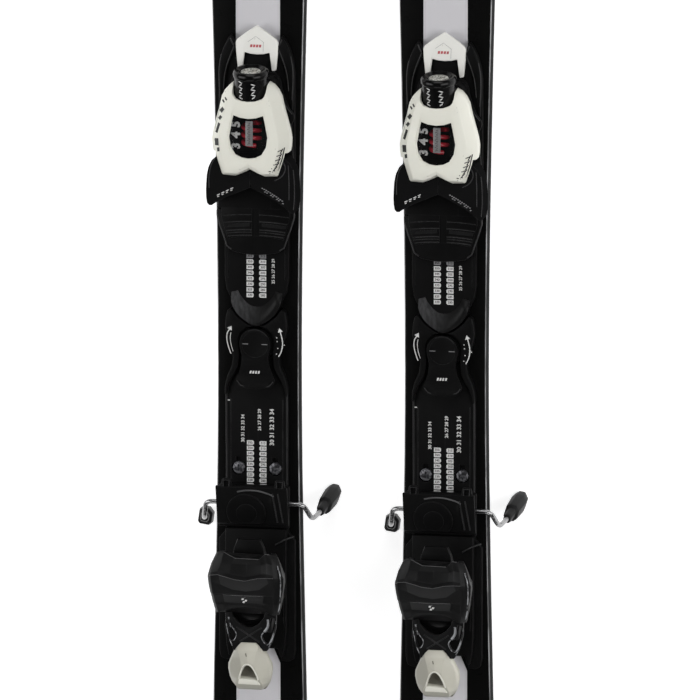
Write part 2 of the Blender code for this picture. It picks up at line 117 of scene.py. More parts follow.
class Finish:
    """A Principled material and short calls for the nodes that the finishes share."""

    def __init__(self, name, colour, roughness, metallic=0.0, specular=0.3, **sockets):
        self.material = bpy.data.materials.new(name)
        self.material.use_nodes = True
        self.tree = self.material.node_tree
        self.shader = self.tree.nodes["Principled BSDF"]
        self.place = self.node("ShaderNodeTexCoord").outputs["Object"]
        self.set("Base Color", (*colour, 1.0))
        self.set("Roughness", roughness)
        self.set("Metallic", metallic)
        self.set("Specular IOR Level", specular)
        for socket, value in sockets.items():
            self.set(socket.replace("_", " "), value)

    def node(self, kind, **settings):
        made = self.tree.nodes.new(kind)
        for key, value in settings.items():
            setattr(made, key, value)
        return made

    def set(self, socket, value):
        """A constant, or an output to link, on one of the shader's sockets."""
        self.put(self.shader.inputs[socket], value)

    def put(self, socket, value):
        if isinstance(value, bpy.types.NodeSocket):
            self.tree.links.new(value, socket)
        else:
            socket.default_value = value

    def noise(self, scale, detail=3.0, stretch=(1, 1, 1), roughness=0.55):
        mapping = self.node("ShaderNodeMapping")
        self.put(mapping.inputs["Vector"], self.place)
        mapping.inputs["Scale"].default_value = stretch
        made = self.node("ShaderNodeTexNoise")
        self.put(made.inputs["Vector"], mapping.outputs["Vector"])
        for socket, number in (("Scale", scale), ("Detail", detail), ("Roughness", roughness)):
            made.inputs[socket].default_value = number
        return made.outputs["Fac"]

    def between(self, value, low, high, out_low=0.0, out_high=1.0):
        """The value mapped from low..high onto out_low..out_high, clamped."""
        made = self.node("ShaderNodeMapRange", interpolation_type="SMOOTHSTEP")
        self.put(made.inputs["Value"], value)
        for socket, number in (("From Min", low), ("From Max", high),
                               ("To Min", out_low), ("To Max", out_high)):
            made.inputs[socket].default_value = number
        return made.outputs["Result"]

    def maths(self, operation, a, b=0.0):
        made = self.node("ShaderNodeMath", operation=operation)
        self.put(made.inputs[0], a)
        self.put(made.inputs[1], b)
        return made.outputs["Value"]

    def mix(self, factor, a, b):
        """Colour a where the factor is 0, colour b where it is 1."""
        made = self.node("ShaderNodeMix", data_type="RGBA")
        self.put(made.inputs["Factor"], factor)
        for socket, colour in (("A", a), ("B", b)):
            linked = isinstance(colour, bpy.types.NodeSocket)
            self.put(made.inputs[socket], colour if linked else (*colour, 1.0))
        return made.outputs["Result"]

    def axis(self, index):
        made = self.node("ShaderNodeSeparateXYZ")
        self.put(made.inputs["Vector"], self.place)
        return made.outputs[index]

    def edges(self, radius=0.45):
        """1 along edges: where the surface turns within the radius, in millimetres."""
        bevel = self.node("ShaderNodeBevel", samples=4)
        bevel.inputs["Radius"].default_value = radius * MM
        turn = self.node("ShaderNodeVectorMath", operation="DOT_PRODUCT")
        self.put(turn.inputs[0], bevel.outputs["Normal"])
        self.put(turn.inputs[1], self.node("ShaderNodeNewGeometry").outputs["Normal"])
        return self.between(turn.outputs["Value"], 0.90, 0.992, 1.0, 0.0)

    def bump(self, height, depth, strength=1.0):
        """Bump of the given depth in millimetres, added to any that is there."""
        made = self.node("ShaderNodeBump")
        made.inputs["Strength"].default_value = strength
        made.inputs["Distance"].default_value = depth * MM
        self.put(made.inputs["Height"], height)
        links = self.shader.inputs["Normal"].links
        if links:
            self.put(made.inputs["Normal"], links[0].from_socket)
        self.set("Normal", made.outputs["Normal"])


# Finishes

STRIPE_HALF = 19.3                       # half-width of the white stripe
STRIPE_BORDER = (2.4, 1.6)               # it turns greyer here, measured in from its edge
STRIPE_SHOULDER = 13.9                   # outside this the rear stripe's front end falls back
FRONT_STRIPE, FRONT_STRIPE_NOSE = 240, 722
REAR_STRIPE, REAR_STRIPE_TAIL = -281.3, -735


def moulded_black(name, shade=0.0042, roughness=0.46, specular=0.07, wear_and_highlight=0.03):
    """Black moulded plastic: a fine spark-eroded grain, cloudy gloss, pale edges that are rubbed wear
    with a painted highlight.
    """
    finish = Finish(name, (shade,) * 3, roughness, specular=specular)
    cloud = finish.noise(45, 4)
    grain = finish.noise(1700, 2)
    scratch = finish.noise(260, 2, stretch=(1.0, 0.07, 1.0))
    body = finish.mix(cloud, (shade * 0.88,) * 3, (shade * 1.12, shade * 1.12, shade * 1.17))
    # the pale edges are partly rubbed wear and partly a painted highlight along the edges
    patch = finish.between(finish.noise(90, 3), 0.3, 0.65, 0.35, 1.0)
    rubbed = finish.maths("MULTIPLY", finish.edges(), patch)
    body = finish.mix(rubbed, body, (wear_and_highlight, wear_and_highlight, wear_and_highlight * 1.02))
    scuff = finish.between(scratch, 0.66, 0.76, 0.0, 0.3)
    finish.set("Base Color", finish.mix(scuff, body, (wear_and_highlight * 0.6,) * 3))
    finish.set("Roughness", finish.between(cloud, 0.3, 0.7, roughness - 0.04, roughness + 0.05))
    finish.bump(grain, 0.05, 0.5)
    finish.bump(scratch, 0.03, 0.25)
    return finish.material


def bared_metal(name, low, high):
    """Black coating rubbed through to grey metal in ragged patches."""
    finish = Finish(name, (0.1,) * 3, 0.4, specular=0.3)
    patch = finish.between(finish.noise(300, 5, stretch=(1.0, 0.45, 1.0), roughness=0.75), low, high)
    metal = finish.mix(finish.noise(900, 3), (0.16, 0.165, 0.175), (0.55, 0.56, 0.58))
    finish.set("Base Color", finish.mix(patch, (0.008,) * 3, metal))
    finish.set("Metallic", finish.between(patch, 0.4, 0.6, 0.0, 0.4))
    finish.bump(patch, -0.06, 0.6)
    return finish.material


def ramp_black():
    """Streaky black of the hub's ramp, painted paler on its left arm as a highlight."""
    finish = Finish("ramp_black", (0.012,) * 3, 0.4, specular=0.12)
    # the left arm is painted paler: a painted highlight
    side = finish.between(finish.axis("X"), -18 * MM, 9 * MM, 1.0, 0.0)
    streak = finish.between(finish.noise(380, 3, stretch=(1.0, 0.12, 1.0)), 0.3, 0.7, 0.45, 1.0)
    pale = finish.maths("MULTIPLY", side, streak)
    finish.set("Base Color", finish.mix(pale, (0.006,) * 3, (0.05, 0.05, 0.052)))
    finish.bump(streak, 0.04, 0.4)
    return finish.material


def moulded_white(name, colour=(0.83, 0.825, 0.745), painted_shade=0.0):
    """Warm white plastic, satin, with dirt specks; painted shade greys what faces left or back, and its
    edges.
    """
    finish = Finish(name, colour, 0.38, specular=0.3)
    dull = tuple(c * f for c, f in zip(colour, (0.95, 0.945, 0.93)))
    cloud = finish.noise(30, 4)
    body = finish.mix(cloud, colour, dull)
    speck = finish.between(finish.noise(320, 2), 0.70, 0.78, 0.0, 0.5)
    body = finish.mix(speck, body, (0.42, 0.40, 0.36))
    scratch = finish.noise(170, 2, stretch=(1.0, 0.12, 1.0))
    line = finish.between(scratch, 0.70, 0.78, 0.0, 0.3)
    body = finish.mix(line, body, (0.5, 0.49, 0.46))
    if painted_shade:
        # painted shade: faces turned left or back, and edges, are darkened
        split = finish.node("ShaderNodeSeparateXYZ")
        finish.put(split.inputs["Vector"], finish.node("ShaderNodeNewGeometry").outputs["Normal"])
        side = finish.between(split.outputs["X"], -0.55, 0.1, painted_shade, 0.0)
        rear = finish.between(split.outputs["Y"], -0.7, -0.05, painted_shade, 0.0)
        shaded_colour = tuple(c * 0.35 for c in colour)
        body = finish.mix(finish.maths("MAXIMUM", side, rear), body, shaded_colour)
        body = finish.mix(finish.maths("MULTIPLY", finish.edges(0.7), 0.35), body, shaded_colour)
    finish.set("Base Color", body)
    finish.set("Roughness", finish.between(cloud, 0.3, 0.7, 0.32, 0.46))
    finish.bump(finish.noise(900, 2), 0.03, 0.35)
    return finish.material


def top_sheet():
    """Glossy black top sheet with the white centre stripe, worn by fine scratches."""
    finish = Finish("top_sheet", (0.0042,) * 3, 0.3, specular=0.035)
    across, along = finish.axis("X"), finish.axis("Y")
    offset = finish.maths("ABSOLUTE", across)
    inside = finish.between(offset, STRIPE_HALF * MM, (STRIPE_HALF + 0.25) * MM, 1.0, 0.0)
    # the rear stripe's front end falls back at either side, and both ends of the ski stay black
    shoulder = finish.maths("MULTIPLY", finish.maths("MAXIMUM", finish.maths(
        "SUBTRACT", offset, STRIPE_SHOULDER * MM), 0.0), 2.3)
    rear_end = finish.maths("ADD", along, shoulder)
    rear = finish.between(rear_end, REAR_STRIPE * MM, (REAR_STRIPE + 0.5) * MM, 1.0, 0.0)
    tail = finish.between(along, (REAR_STRIPE_TAIL - 0.3) * MM, REAR_STRIPE_TAIL * MM)
    rear = finish.maths("MULTIPLY", rear, tail)
    front = finish.between(along, FRONT_STRIPE * MM, (FRONT_STRIPE + 0.4) * MM)
    nose = finish.maths("ADD", along, finish.maths("MULTIPLY", offset, 1.1))
    nose = finish.between(nose, FRONT_STRIPE_NOSE * MM, (FRONT_STRIPE_NOSE + 0.5) * MM, 1.0, 0.0)
    front = finish.maths("MULTIPLY", front, nose)
    stripe = finish.maths("MULTIPLY", inside, finish.maths("ADD", front, rear))
    cloud = finish.noise(14, 4)
    ink = finish.mix(cloud, (0.615, 0.605, 0.635), (0.655, 0.645, 0.665))
    inner, outer = ((STRIPE_HALF - width) * MM for width in STRIPE_BORDER)
    border = finish.between(offset, inner, outer, 0.0, 0.35)
    ink = finish.mix(border, ink, (0.52, 0.515, 0.53))
    scratch = finish.noise(300, 3, stretch=(1.0, 0.03, 1.0))
    scored = finish.between(scratch, 0.66, 0.8, 0.0, 0.4)
    black = finish.mix(scored, (0.0042,) * 3, (0.014, 0.014, 0.015))
    chip = finish.between(finish.noise(75, 2), 0.775, 0.785)
    black = finish.mix(chip, black, (0.08,) * 3)
    finish.set("Base Color", finish.mix(stripe, black, ink))
    finish.set("Roughness", finish.between(finish.noise(60, 4), 0.3, 0.7, 0.26, 0.38))
    finish.bump(scratch, 0.015, 0.3)
    return finish.material


def rim_highlight_and_wear():
    """The top sheet's bevelled border: a grey painted highlight along the edge, with paler worn patches.
    """
    finish = Finish("sheet_rim_highlight_and_wear", (0.12,) * 3, 0.35, specular=0.4)
    wear_and_highlight = finish.between(finish.noise(55, 5, stretch=(1, 0.35, 1)), 0.4, 0.66)
    finish.set("Base Color", finish.mix(wear_and_highlight, (0.12, 0.12, 0.122), (0.42, 0.42, 0.43)))
    finish.bump(finish.noise(500, 3), 0.06, 0.6)
    return finish.material


def sidewall():
    """Matt phenolic sidewall with long grinding lines."""
    finish = Finish("sidewall", (0.006,) * 3, 0.6, specular=0.03)
    lines = finish.noise(700, 2, stretch=(0.2, 0.012, 1.0))
    finish.set("Base Color", finish.mix(lines, (0.003,) * 3, (0.009, 0.009, 0.0095)))
    finish.bump(lines, 0.05, 0.5)
    return finish.material


def running_base_finish():
    finish = Finish("sintered_base", (0.02,) * 3, 0.42, specular=0.3)
    stone = finish.noise(1200, 2, stretch=(1.0, 0.02, 1.0))
    finish.set("Base Color", finish.mix(stone, (0.014,) * 3, (0.035, 0.035, 0.037)))
    finish.bump(stone, 0.04, 0.5)
    return finish.material


def ground_steel():
    """Edge steel: lengthwise grinding marks and small rust-brown dulled patches."""
    finish = Finish("edge_steel", (0.55, 0.55, 0.56), 0.34, metallic=1.0)
    lines = finish.noise(2200, 2, stretch=(1.0, 0.01, 1.0))
    patch = finish.between(finish.noise(40, 4), 0.58, 0.75, 0.0, 0.5)
    body = finish.mix(lines, (0.45, 0.45, 0.46), (0.66, 0.66, 0.67))
    finish.set("Base Color", finish.mix(patch, body, (0.27, 0.24, 0.21)))
    finish.set("Roughness", finish.between(lines, 0.3, 0.7, 0.27, 0.42))
    finish.bump(lines, 0.02, 0.5)
    return finish.material


def drawn_wire():
    """Bright drawn wire with faint lengthwise streaks."""
    finish = Finish("drawn_wire", (0.36, 0.36, 0.37), 0.26, metallic=1.0)
    streak = finish.noise(900, 3, stretch=(0.06, 1.0, 1.0))
    finish.set("Base Color", finish.mix(streak, (0.26, 0.26, 0.26), (0.42, 0.42, 0.43)))
    finish.set("Roughness", finish.between(streak, 0.3, 0.7, 0.2, 0.34))
    finish.bump(finish.noise(600, 3), 0.03, 0.4)
    return finish.material


def cast_metal():
    """Rough cast face of the release screw: pitted, smoother on its high points, which are painted
    bright as glints.
    """
    finish = Finish("cast_metal", (0.5, 0.5, 0.48), 0.42, metallic=0.5, specular=0.5)
    pit = finish.noise(520, 4, roughness=0.7)
    high = finish.between(pit, 0.42, 0.58)
    # the high points are painted near-white: painted glints
    finish.set("Base Color", finish.mix(high, (0.16, 0.16, 0.13), (0.95, 0.95, 0.9)))
    finish.set("Roughness", finish.between(pit, 0.35, 0.65, 0.5, 0.22))
    finish.bump(pit, 0.5, 0.9)
    return finish.material


def dark_screw():
    finish = Finish("dark_screw", (0.09, 0.09, 0.1), 0.38, metallic=0.8, specular=0.5)
    worn = finish.between(finish.noise(420, 4), 0.4, 0.65)
    finish.set("Base Color", finish.mix(worn, (0.05, 0.05, 0.055), (0.3, 0.3, 0.32)))
    finish.bump(finish.noise(700, 3), 0.08, 0.6)
    return finish.material


def red_coat():
    finish = Finish("red_coat", (0.42, 0.02, 0.03), 0.22, specular=0.8)
    cloud = finish.noise(300, 3)
    finish.set("Base Color", finish.mix(cloud, (0.36, 0.012, 0.024), (0.52, 0.03, 0.05)))
    finish.bump(finish.noise(1500, 2), 0.03, 0.4)
    return finish.material


def brushed_strip():
    finish = Finish("brushed_strip", (0.3, 0.3, 0.31), 0.4, metallic=0.3, specular=0.5)
    lines = finish.noise(1400, 2, stretch=(0.05, 1.0, 1.0))
    finish.set("Base Color", finish.mix(lines, (0.26, 0.255, 0.26), (0.40, 0.395, 0.4)))
    finish.bump(lines, 0.02, 0.5)
    return finish.material


def clear_plastic():
    finish = Finish("clear_plastic", (0.02, 0.02, 0.021), 0.12, specular=0.15, Alpha=0.1)
    finish.bump(finish.noise(90, 3), 0.05, 0.3)
    return finish.material


def print_ink(name, colour):
    """Pad-printed ink, a little uneven."""
    finish = Finish(name, colour, 0.5, specular=0.25)
    thin = tuple(c * 0.72 for c in colour)
    finish.set("Base Color", finish.mix(finish.between(finish.noise(480, 3), 0.45, 0.75), colour, thin))
    finish.bump(finish.noise(1500, 2), 0.02, 0.4)
    return finish.material


BLACK = moulded_black("moulded_black")
CUP_BLACK = moulded_black("moulded_black_cup", 0.008, 0.42, 0.12, 0.05)
# a paler copy of the cup's black: on the cup it paints highlights on some faces; the brake's blades are
# this colour too
CUP_PALE = moulded_black("moulded_black_cup_scoop", 0.016, 0.42, 0.16, 0.07)
WING_BLACK = moulded_black("moulded_black_wing", 0.0075, 0.5, 0.0, 0.05)
GLOSS_BLACK = moulded_black("moulded_black_gloss", 0.0032, 0.22, 0.2, 0.03)
PAD = moulded_black("low_friction_pad", 0.0045, 0.36, 0.08, 0.03)
PAD_PALE = moulded_black("low_friction_pad_pale", 0.011, 0.3, 0.15, 0.04)
# paler copies of the black, put on ridges, rims and creases: painted highlights along them; the second
# is brighter
RIDGE_HIGHLIGHT = moulded_black("moulded_black_ridge_highlight", 0.017, 0.36, 0.2, 0.05)
RIDGE_BRIGHT_HIGHLIGHT = moulded_black("moulded_black_ridge_bright_highlight", 0.06, 0.3, 0.4, 0.12)
RAMP = ramp_black()
LEVER_BLACK = moulded_black("moulded_black_lever", 0.007, 0.42, 0.1, 0.05)
BARED = bared_metal("bared_metal", 0.42, 0.56)
WHITE = moulded_white("moulded_white")
GRIP_WHITE = moulded_white("moulded_white_grip", (0.60, 0.585, 0.51), painted_shade=0.5)
GRIP_LIT = moulded_white("moulded_white_grip_lit", (0.74, 0.73, 0.66))
GRIP_SHADE = moulded_white("moulded_white_grip_shade", (0.22, 0.21, 0.18))
CAP_WHITE = moulded_white("moulded_white_cap", (0.90, 0.895, 0.855))
TOP_SHEET = top_sheet()
RIM_HIGHLIGHT_AND_WEAR = rim_highlight_and_wear()
SIDEWALL = sidewall()
SINTERED = running_base_finish()
EDGE_STEEL = ground_steel()
WIRE = drawn_wire()
CAST = cast_metal()
SCREW = dark_screw()
RED = red_coat()
STRIP = brushed_strip()
CLEAR = clear_plastic()
WHITE_INK = print_ink("white_ink", (0.68, 0.68, 0.67))
GREY_INK = print_ink("grey_ink", (0.22, 0.22, 0.225))
DARK_INK = print_ink("dark_ink", (0.012, 0.012, 0.011))
RED_INK = print_ink("red_ink", (0.55, 0.12, 0.13))
LINE_INK = print_ink("line_ink", (0.42, 0.42, 0.41))


# Shapes

def object_from(name, bm):
    bmesh.ops.recalc_face_normals(bm, faces=bm.faces)
    mesh = bpy.data.meshes.new(name)
    bm.to_mesh(mesh)
    bm.free()
    made = bpy.data.objects.new(name, mesh)
    PIECES.objects.link(made)
    return made


def applied(piece):
    """A mesh of the piece in the ski's frame, with its modifiers applied."""
    bpy.context.view_layer.update()
    ready = piece.evaluated_get(bpy.context.evaluated_depsgraph_get())
    mesh = bpy.data.meshes.new_from_object(ready)
    mesh.transform(piece.matrix_world)
    return mesh


def baked(piece):
    """The piece with its modifiers applied."""
    made = bpy.data.objects.new(piece.name, applied(piece))
    bpy.data.objects.remove(piece, do_unlink=True)
    PIECES.objects.link(made)
    return made


def merged(name, pieces):
    """Several pieces as the separate shells of one mesh, each keeping its material."""
    bm = bmesh.new()
    materials = []
    for piece in pieces:
        mesh = applied(piece)
        for material in mesh.materials:
            if material not in materials:
                materials.append(material)
        slots = [materials.index(material) for material in mesh.materials] or [0]
        first = len(bm.faces)
        bm.from_mesh(mesh)
        bm.faces.ensure_lookup_table()
        for face in bm.faces[first:]:
            face.material_index = slots[min(face.material_index, len(slots) - 1)]
        bpy.data.objects.remove(piece, do_unlink=True)
    mesh = bpy.data.meshes.new(name)
    bm.to_mesh(mesh)
    bm.free()
    for material in materials:
        mesh.materials.append(material)
    made = bpy.data.objects.new(name, mesh)
    PIECES.objects.link(made)
    return made


def painted(piece, material):
    piece.data.materials.clear()
    piece.data.materials.append(material)
    return piece


def mirrored(half):
    """A symmetric outline, from the points of its right half taken front to back."""
    return half + [(-x, y) for x, y in reversed(half) if x > 0]


def smooth(outline, closed=True, steps=5):
    """A Catmull-Rom curve through the outline's points."""
    count = len(outline)
    points = []
    for i in range(count if closed else count - 1):
        around = [(i + k) % count if closed else min(max(i + k, 0), count - 1) for k in (-1, 0, 1, 2)]
        p0, p1, p2, p3 = (Vector(outline[k]) for k in around)
        for k in range(steps):
            t = k / steps
            points.append(0.5 * (2 * p1 + (p2 - p0) * t + (2 * p0 - 5 * p1 + 4 * p2 - p3) * t ** 2
                                 + (3 * p1 - p0 - 3 * p2 + p3) * t ** 3))
    if not closed:
        points.append(Vector(outline[-1]))
    return [tuple(p) for p in points]


def prism(name, outline, low, high, across=False):
    """A flat outline raised from low to high; across makes it a (Y, Z) profile along X."""
    bm = bmesh.new()
    rings = []
    for level in (low, high):
        if across:
            corners = [(level, a, b) for a, b in outline]
        else:
            corners = [(a, b, level) for a, b in outline]
        rings.append([bm.verts.new(Vector(c) * MM) for c in corners])
    count = len(outline)
    for i in range(count):
        j = (i + 1) % count
        bm.faces.new((rings[0][i], rings[0][j], rings[1][j], rings[1][i]))
    bm.faces.new(rings[0])
    bm.faces.new(rings[1])
    return object_from(name, bm)


def box(name, low, high):
    bm = bmesh.new()
    bmesh.ops.create_cube(bm, size=1.0)
    size = Vector(high) - Vector(low)
    bmesh.ops.scale(bm, vec=size * MM, verts=bm.verts)
    bmesh.ops.translate(bm, vec=(Vector(low) + size / 2) * MM, verts=bm.verts)
    return object_from(name, bm)


def turned(name, profile, start, direction, sides=48):
    """A closed (distance, radius) profile turned about an axis."""
    axis = Vector(direction).normalized()
    turn = axis.to_track_quat("Z", "Y").to_matrix()
    bm = bmesh.new()
    rings = []
    for distance, radius in profile:
        if radius < 1e-6:
            rings.append([bm.verts.new((Vector(start) + axis * distance) * MM)])
            continue
        ring = []
        for k in range(sides):
            angle = 2 * math.pi * k / sides
            spoke = turn @ Vector((math.cos(angle) * radius, math.sin(angle) * radius, distance))
            ring.append(bm.verts.new((Vector(start) + spoke) * MM))
        rings.append(ring)
    for a, b in zip(rings, rings[1:]):
        for k in range(sides):
            j = (k + 1) % sides
            corners = [a[k % len(a)], a[j % len(a)], b[j % len(b)], b[k % len(b)]]
            bm.faces.new(list(dict.fromkeys(corners)))
    return object_from(name, bm)


def rod(name, start, end, radius, sides=32):
    length = (Vector(end) - Vector(start)).length
    profile = [(0, 0), (0, radius), (length, radius), (length, 0)]
    return turned(name, profile, start, Vector(end) - Vector(start), sides)


def loft(name, sections, strips=None, closed=True):
    """A skin over sections of equal point counts; strips gives each ring segment's material."""
    bm = bmesh.new()
    rings = [[bm.verts.new(Vector(p) * MM) for p in section] for section in sections]
    count = len(rings[0])
    for ring, following in zip(rings, rings[1:]):
        for i in range(count if closed else count - 1):
            j = (i + 1) % count
            face = bm.faces.new((ring[i], ring[j], following[j], following[i]))
            face.material_index = strips[i] if strips else 0
    if closed:
        for ring in (rings[0], rings[-1]):
            bm.faces.new(ring)
    return object_from(name, bm)


def stack(name, levels):
    """A loft of flat outlines, each given with its height."""
    return loft(name, [[(x, y, z) for x, y in outline] for z, outline in levels])


def scaled(outline, factor, centre_y):
    return [(x * factor, centre_y + (y - centre_y) * factor) for x, y in outline]


def tube(name, points, radius, sides=16):
    """A round wire through the points, with flat ends, its rings kept from twisting."""
    points = [Vector(p) for p in points]
    tangents = [(b - a).normalized() for a, b in
                zip([points[0]] + points[:-1], points[1:] + [points[-1]])]
    normal = tangents[0].orthogonal().normalized()
    bm = bmesh.new()
    rings = []
    for point, tangent in zip(points, tangents):
        normal = (normal - tangent * normal.dot(tangent)).normalized()
        other = tangent.cross(normal)
        rings.append([bm.verts.new((point + radius * (
            math.cos(a) * normal + math.sin(a) * other)) * MM)
            for a in [2 * math.pi * k / sides for k in range(sides)]])
    for ring, following in zip(rings, rings[1:]):
        for i in range(sides):
            j = (i + 1) % sides
            bm.faces.new((ring[i], ring[j], following[j], following[i]))
    bm.faces.new(rings[0])
    bm.faces.new(rings[-1])
    return object_from(name, bm)


def rounded_path(corners, radius, steps=10):
    """The corners joined by straight runs, each inner corner rounded by a quadratic arc."""
    points = [Vector(corners[0])]
    for before, here, after in zip(corners, corners[1:], corners[2:]):
        before, here, after = Vector(before), Vector(here), Vector(after)
        start = here + (before - here).normalized() * radius
        end = here + (after - here).normalized() * radius
        for k in range(steps + 1):
            t = k / steps
            points.append(start * (1 - t) ** 2 + here * 2 * t * (1 - t) + end * t ** 2)
    points.append(Vector(corners[-1]))
    return points


def join(piece, tool, operation):
    tool = baked(tool)
    modifier = piece.modifiers.new(tool.name, "BOOLEAN")
    modifier.operation = operation
    modifier.object = tool
    made = baked(piece)
    bpy.data.objects.remove(tool, do_unlink=True)
    return made


def cut(piece, *tools):
    for tool in tools:
        piece = join(piece, tool, "DIFFERENCE")
    return piece


def add(piece, *tools):
    for tool in tools:
        piece = join(piece, tool, "UNION")
    return piece


def soften(piece, width, segments=3, angle=30.0):
    """Round off the edges that are sharper than the angle."""
    bevel = piece.modifiers.new("soften", "BEVEL")
    bevel.width = width * MM
    bevel.segments = segments
    bevel.limit_method = "ANGLE"
    bevel.angle_limit = math.radians(angle)
    return piece


def dress(name, piece, material, body, slot, *nodes, sharp=32.0):
    """Put the piece on both skis, riding on a body and standing for the CAD nodes."""
    mesh = applied(piece)
    if material is not None:
        mesh.materials.clear()
        mesh.materials.append(material)
    mesh.shade_smooth()
    mesh.set_sharp_from_angle(angle=math.radians(sharp))
    mesh.name = name
    for side, origin in ORIGIN.items():
        copy = bpy.data.objects.new(f"{side}_{name}", mesh)
        PIECES.objects.link(copy)
        copy.location = origin
        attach(copy, f"{side}_{body}")
        if nodes:
            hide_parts(*[f"{side}_{node}" for node in nodes])
    bpy.data.objects.remove(piece, do_unlink=True)


# Printed marks: thin inked plates that lie on a surface

INK = 0.08                               # thickness of a printed mark


def bar(centre, size, height, angle=0.0, lean=0.0):
    """A printed bar; angle turns it about Z in degrees, lean slants its ends."""
    half_x, half_y = size[0] / 2, size[1] / 2
    corners = [(-half_x - lean, -half_y), (half_x - lean, -half_y),
               (half_x + lean, half_y), (-half_x + lean, half_y)]
    c, s = math.cos(math.radians(angle)), math.sin(math.radians(angle))
    outline = [(centre[0] + x * c - y * s, centre[1] + x * s + y * c) for x, y in corners]
    return prism("bar", outline, height, height + INK)


def ribbon(points, width, height):
    """A printed line of even width through flat points."""
    line = [Vector(p) for p in points]
    left, right = [], []
    for before, here, after in zip([line[0]] + line[:-1], line, line[1:] + [line[-1]]):
        along = (after - before).normalized()
        side = Vector((-along.y, along.x)) * width / 2
        left.append(tuple(here + side))
        right.append(tuple(here - side))
    return prism("ribbon", left + right[::-1], height, height + INK)


def numeral(text, centre, size, height, angle=0.0, weight=0.02):
    """Plain digits, centred; weight thickens their strokes."""
    curve = bpy.data.curves.new("numeral", "FONT")
    curve.body = text
    curve.size = size * MM
    curve.align_x = "CENTER"
    curve.align_y = "CENTER"
    curve.resolution_u = 2
    curve.offset = weight * size * MM
    letters = bpy.data.objects.new("numeral", curve)
    PIECES.objects.link(letters)
    letters.location = (centre[0] * MM, centre[1] * MM, (height + INK) * MM)
    letters.rotation_euler.z = math.radians(angle)
    return baked(letters)


def inked(material, *pieces):
    return [painted(piece, material) for piece in pieces]


def draped(marks, surface, above=70.0, edge=31.0):
    """Flat printed marks let down onto a surface; beside it they end at the edge's height."""
    skin = applied(surface)
    tree = BVHTree.FromPolygons([v.co for v in skin.vertices], [p.vertices[:] for p in skin.polygons])
    mesh = marks.data
    for vertex in mesh.vertices:
        hit = tree.ray_cast(Vector((vertex.co.x, vertex.co.y, above * MM)), Vector((0, 0, -1)))[0]
        vertex.co.z += hit.z + 0.25 * MM if hit else edge * MM
    return marks


# The ski

SIDECUT = [
    (-790, 33.4), (-782, 44), (-760, 50), (-735, 51.4), (-550, 46.9), (-326, 40.3), (-30, 35.9),
    (290, 40.7), (500, 48.6), (600, 54.3), (665, 58.1), (700, 57.1), (735, 51), (765, 38.4),
    (783, 22.6), (790, 8),
]
EDGE_WIDTH, EDGE_HEIGHT = 2.0, 1.8
BASE_START, BASE_END = -776, 722         # of the steel edges and the running base
CORE_THICKNESS, END_THICKNESS = 14.5, 6.5
CAMBER, TIP_RISE, TAIL_RISE = 3.0, 58.0, 13.0
SIDEWALL_SLOPE = 0.5


def smooth_step(t):
    t = min(1.0, max(0.0, t))
    return t * t * (3 - 2 * t)


def half_width(y):
    """Half-width of the base at y: a cubic through the sidecut's points."""
    spans = list(zip(SIDECUT, SIDECUT[1:]))
    index = next((i for i, (a, b) in enumerate(spans) if y <= b[0]), len(spans) - 1)

    def slope(i):
        a = SIDECUT[max(0, i - 1)]
        b = SIDECUT[min(len(SIDECUT) - 1, i + 1)]
        return (b[1] - a[1]) / (b[0] - a[0])

    (y0, w0), (y1, w1) = spans[index]
    run = y1 - y0
    t = (y - y0) / run
    return (
        (2 * t ** 3 - 3 * t ** 2 + 1) * w0 + (t ** 3 - 2 * t ** 2 + t) * run * slope(index)
        + (-2 * t ** 3 + 3 * t ** 2) * w1 + (t ** 3 - t ** 2) * run * slope(index + 1)
    )


def base_height(y):
    """Underside of the ski: cambered, turned up at the tip and a little at the tail."""
    drop = CAMBER * smooth_step((abs(y) - 320) / 300)
    tip = TIP_RISE * max(0.0, (y - 610) / 180) ** 2
    tail = TAIL_RISE * max(0.0, (-y - 700) / 90) ** 2
    return -CORE_THICKNESS - drop + tip + tail


def thickness(y):
    return CORE_THICKNESS + (END_THICKNESS - CORE_THICKNESS) * smooth_step((abs(y) - 300) / 340)


def stations(start, end, count):
    """Places along the ski, closer together towards its ends."""
    middle, reach = (start + end) / 2, (end - start) / 2
    return [middle + reach * math.sin(math.pi * (k / count - 0.5)) for k in range(count + 1)]


def ski_shell():
    """Sidewalls, bevelled rim and the slightly crowned top sheet."""
    sections = []
    for y in stations(-HALF_LENGTH, HALF_LENGTH, 110):
        wide, low, top = half_width(y), base_height(y), base_height(y) + thickness(y)
        narrow = wide - min(SIDEWALL_SLOPE, wide * 0.3)
        floor = low + EDGE_HEIGHT + GAP
        right = [
            (wide, y, floor), (narrow + 0.5, y, top - 1.6), (narrow + 0.3, y, top - 0.55),
            (narrow, y, top - 0.16), (narrow - 0.55, y, top),
            (STRIPE_HALF if narrow > 24 else narrow * 0.5, y, top + 0.1),
        ]
        sections.append(right + [(-x, y, z) for x, y, z in reversed(right)])
    shell = loft("ski_shell", sections, strips=[1, 1, 2, 2, 0, 0, 0, 2, 2, 1, 1, 1])
    for material in (TOP_SHEET, SIDEWALL, RIM_HIGHLIGHT_AND_WEAR):
        shell.data.materials.append(material)
    return shell


def edge_strip(side):
    sections = []
    for y in stations(BASE_START, BASE_END, 90):
        outer, low = half_width(y) * side, base_height(y)
        inner, high = outer - EDGE_WIDTH * side, low + EDGE_HEIGHT
        chamfer = 0.25 * side
        sections.append([
            (outer - chamfer, y, low), (outer, y, low + 0.25), (outer, y, high), (inner, y, high),
            (inner, y, low),
        ])
    return loft("edge_strip", sections)


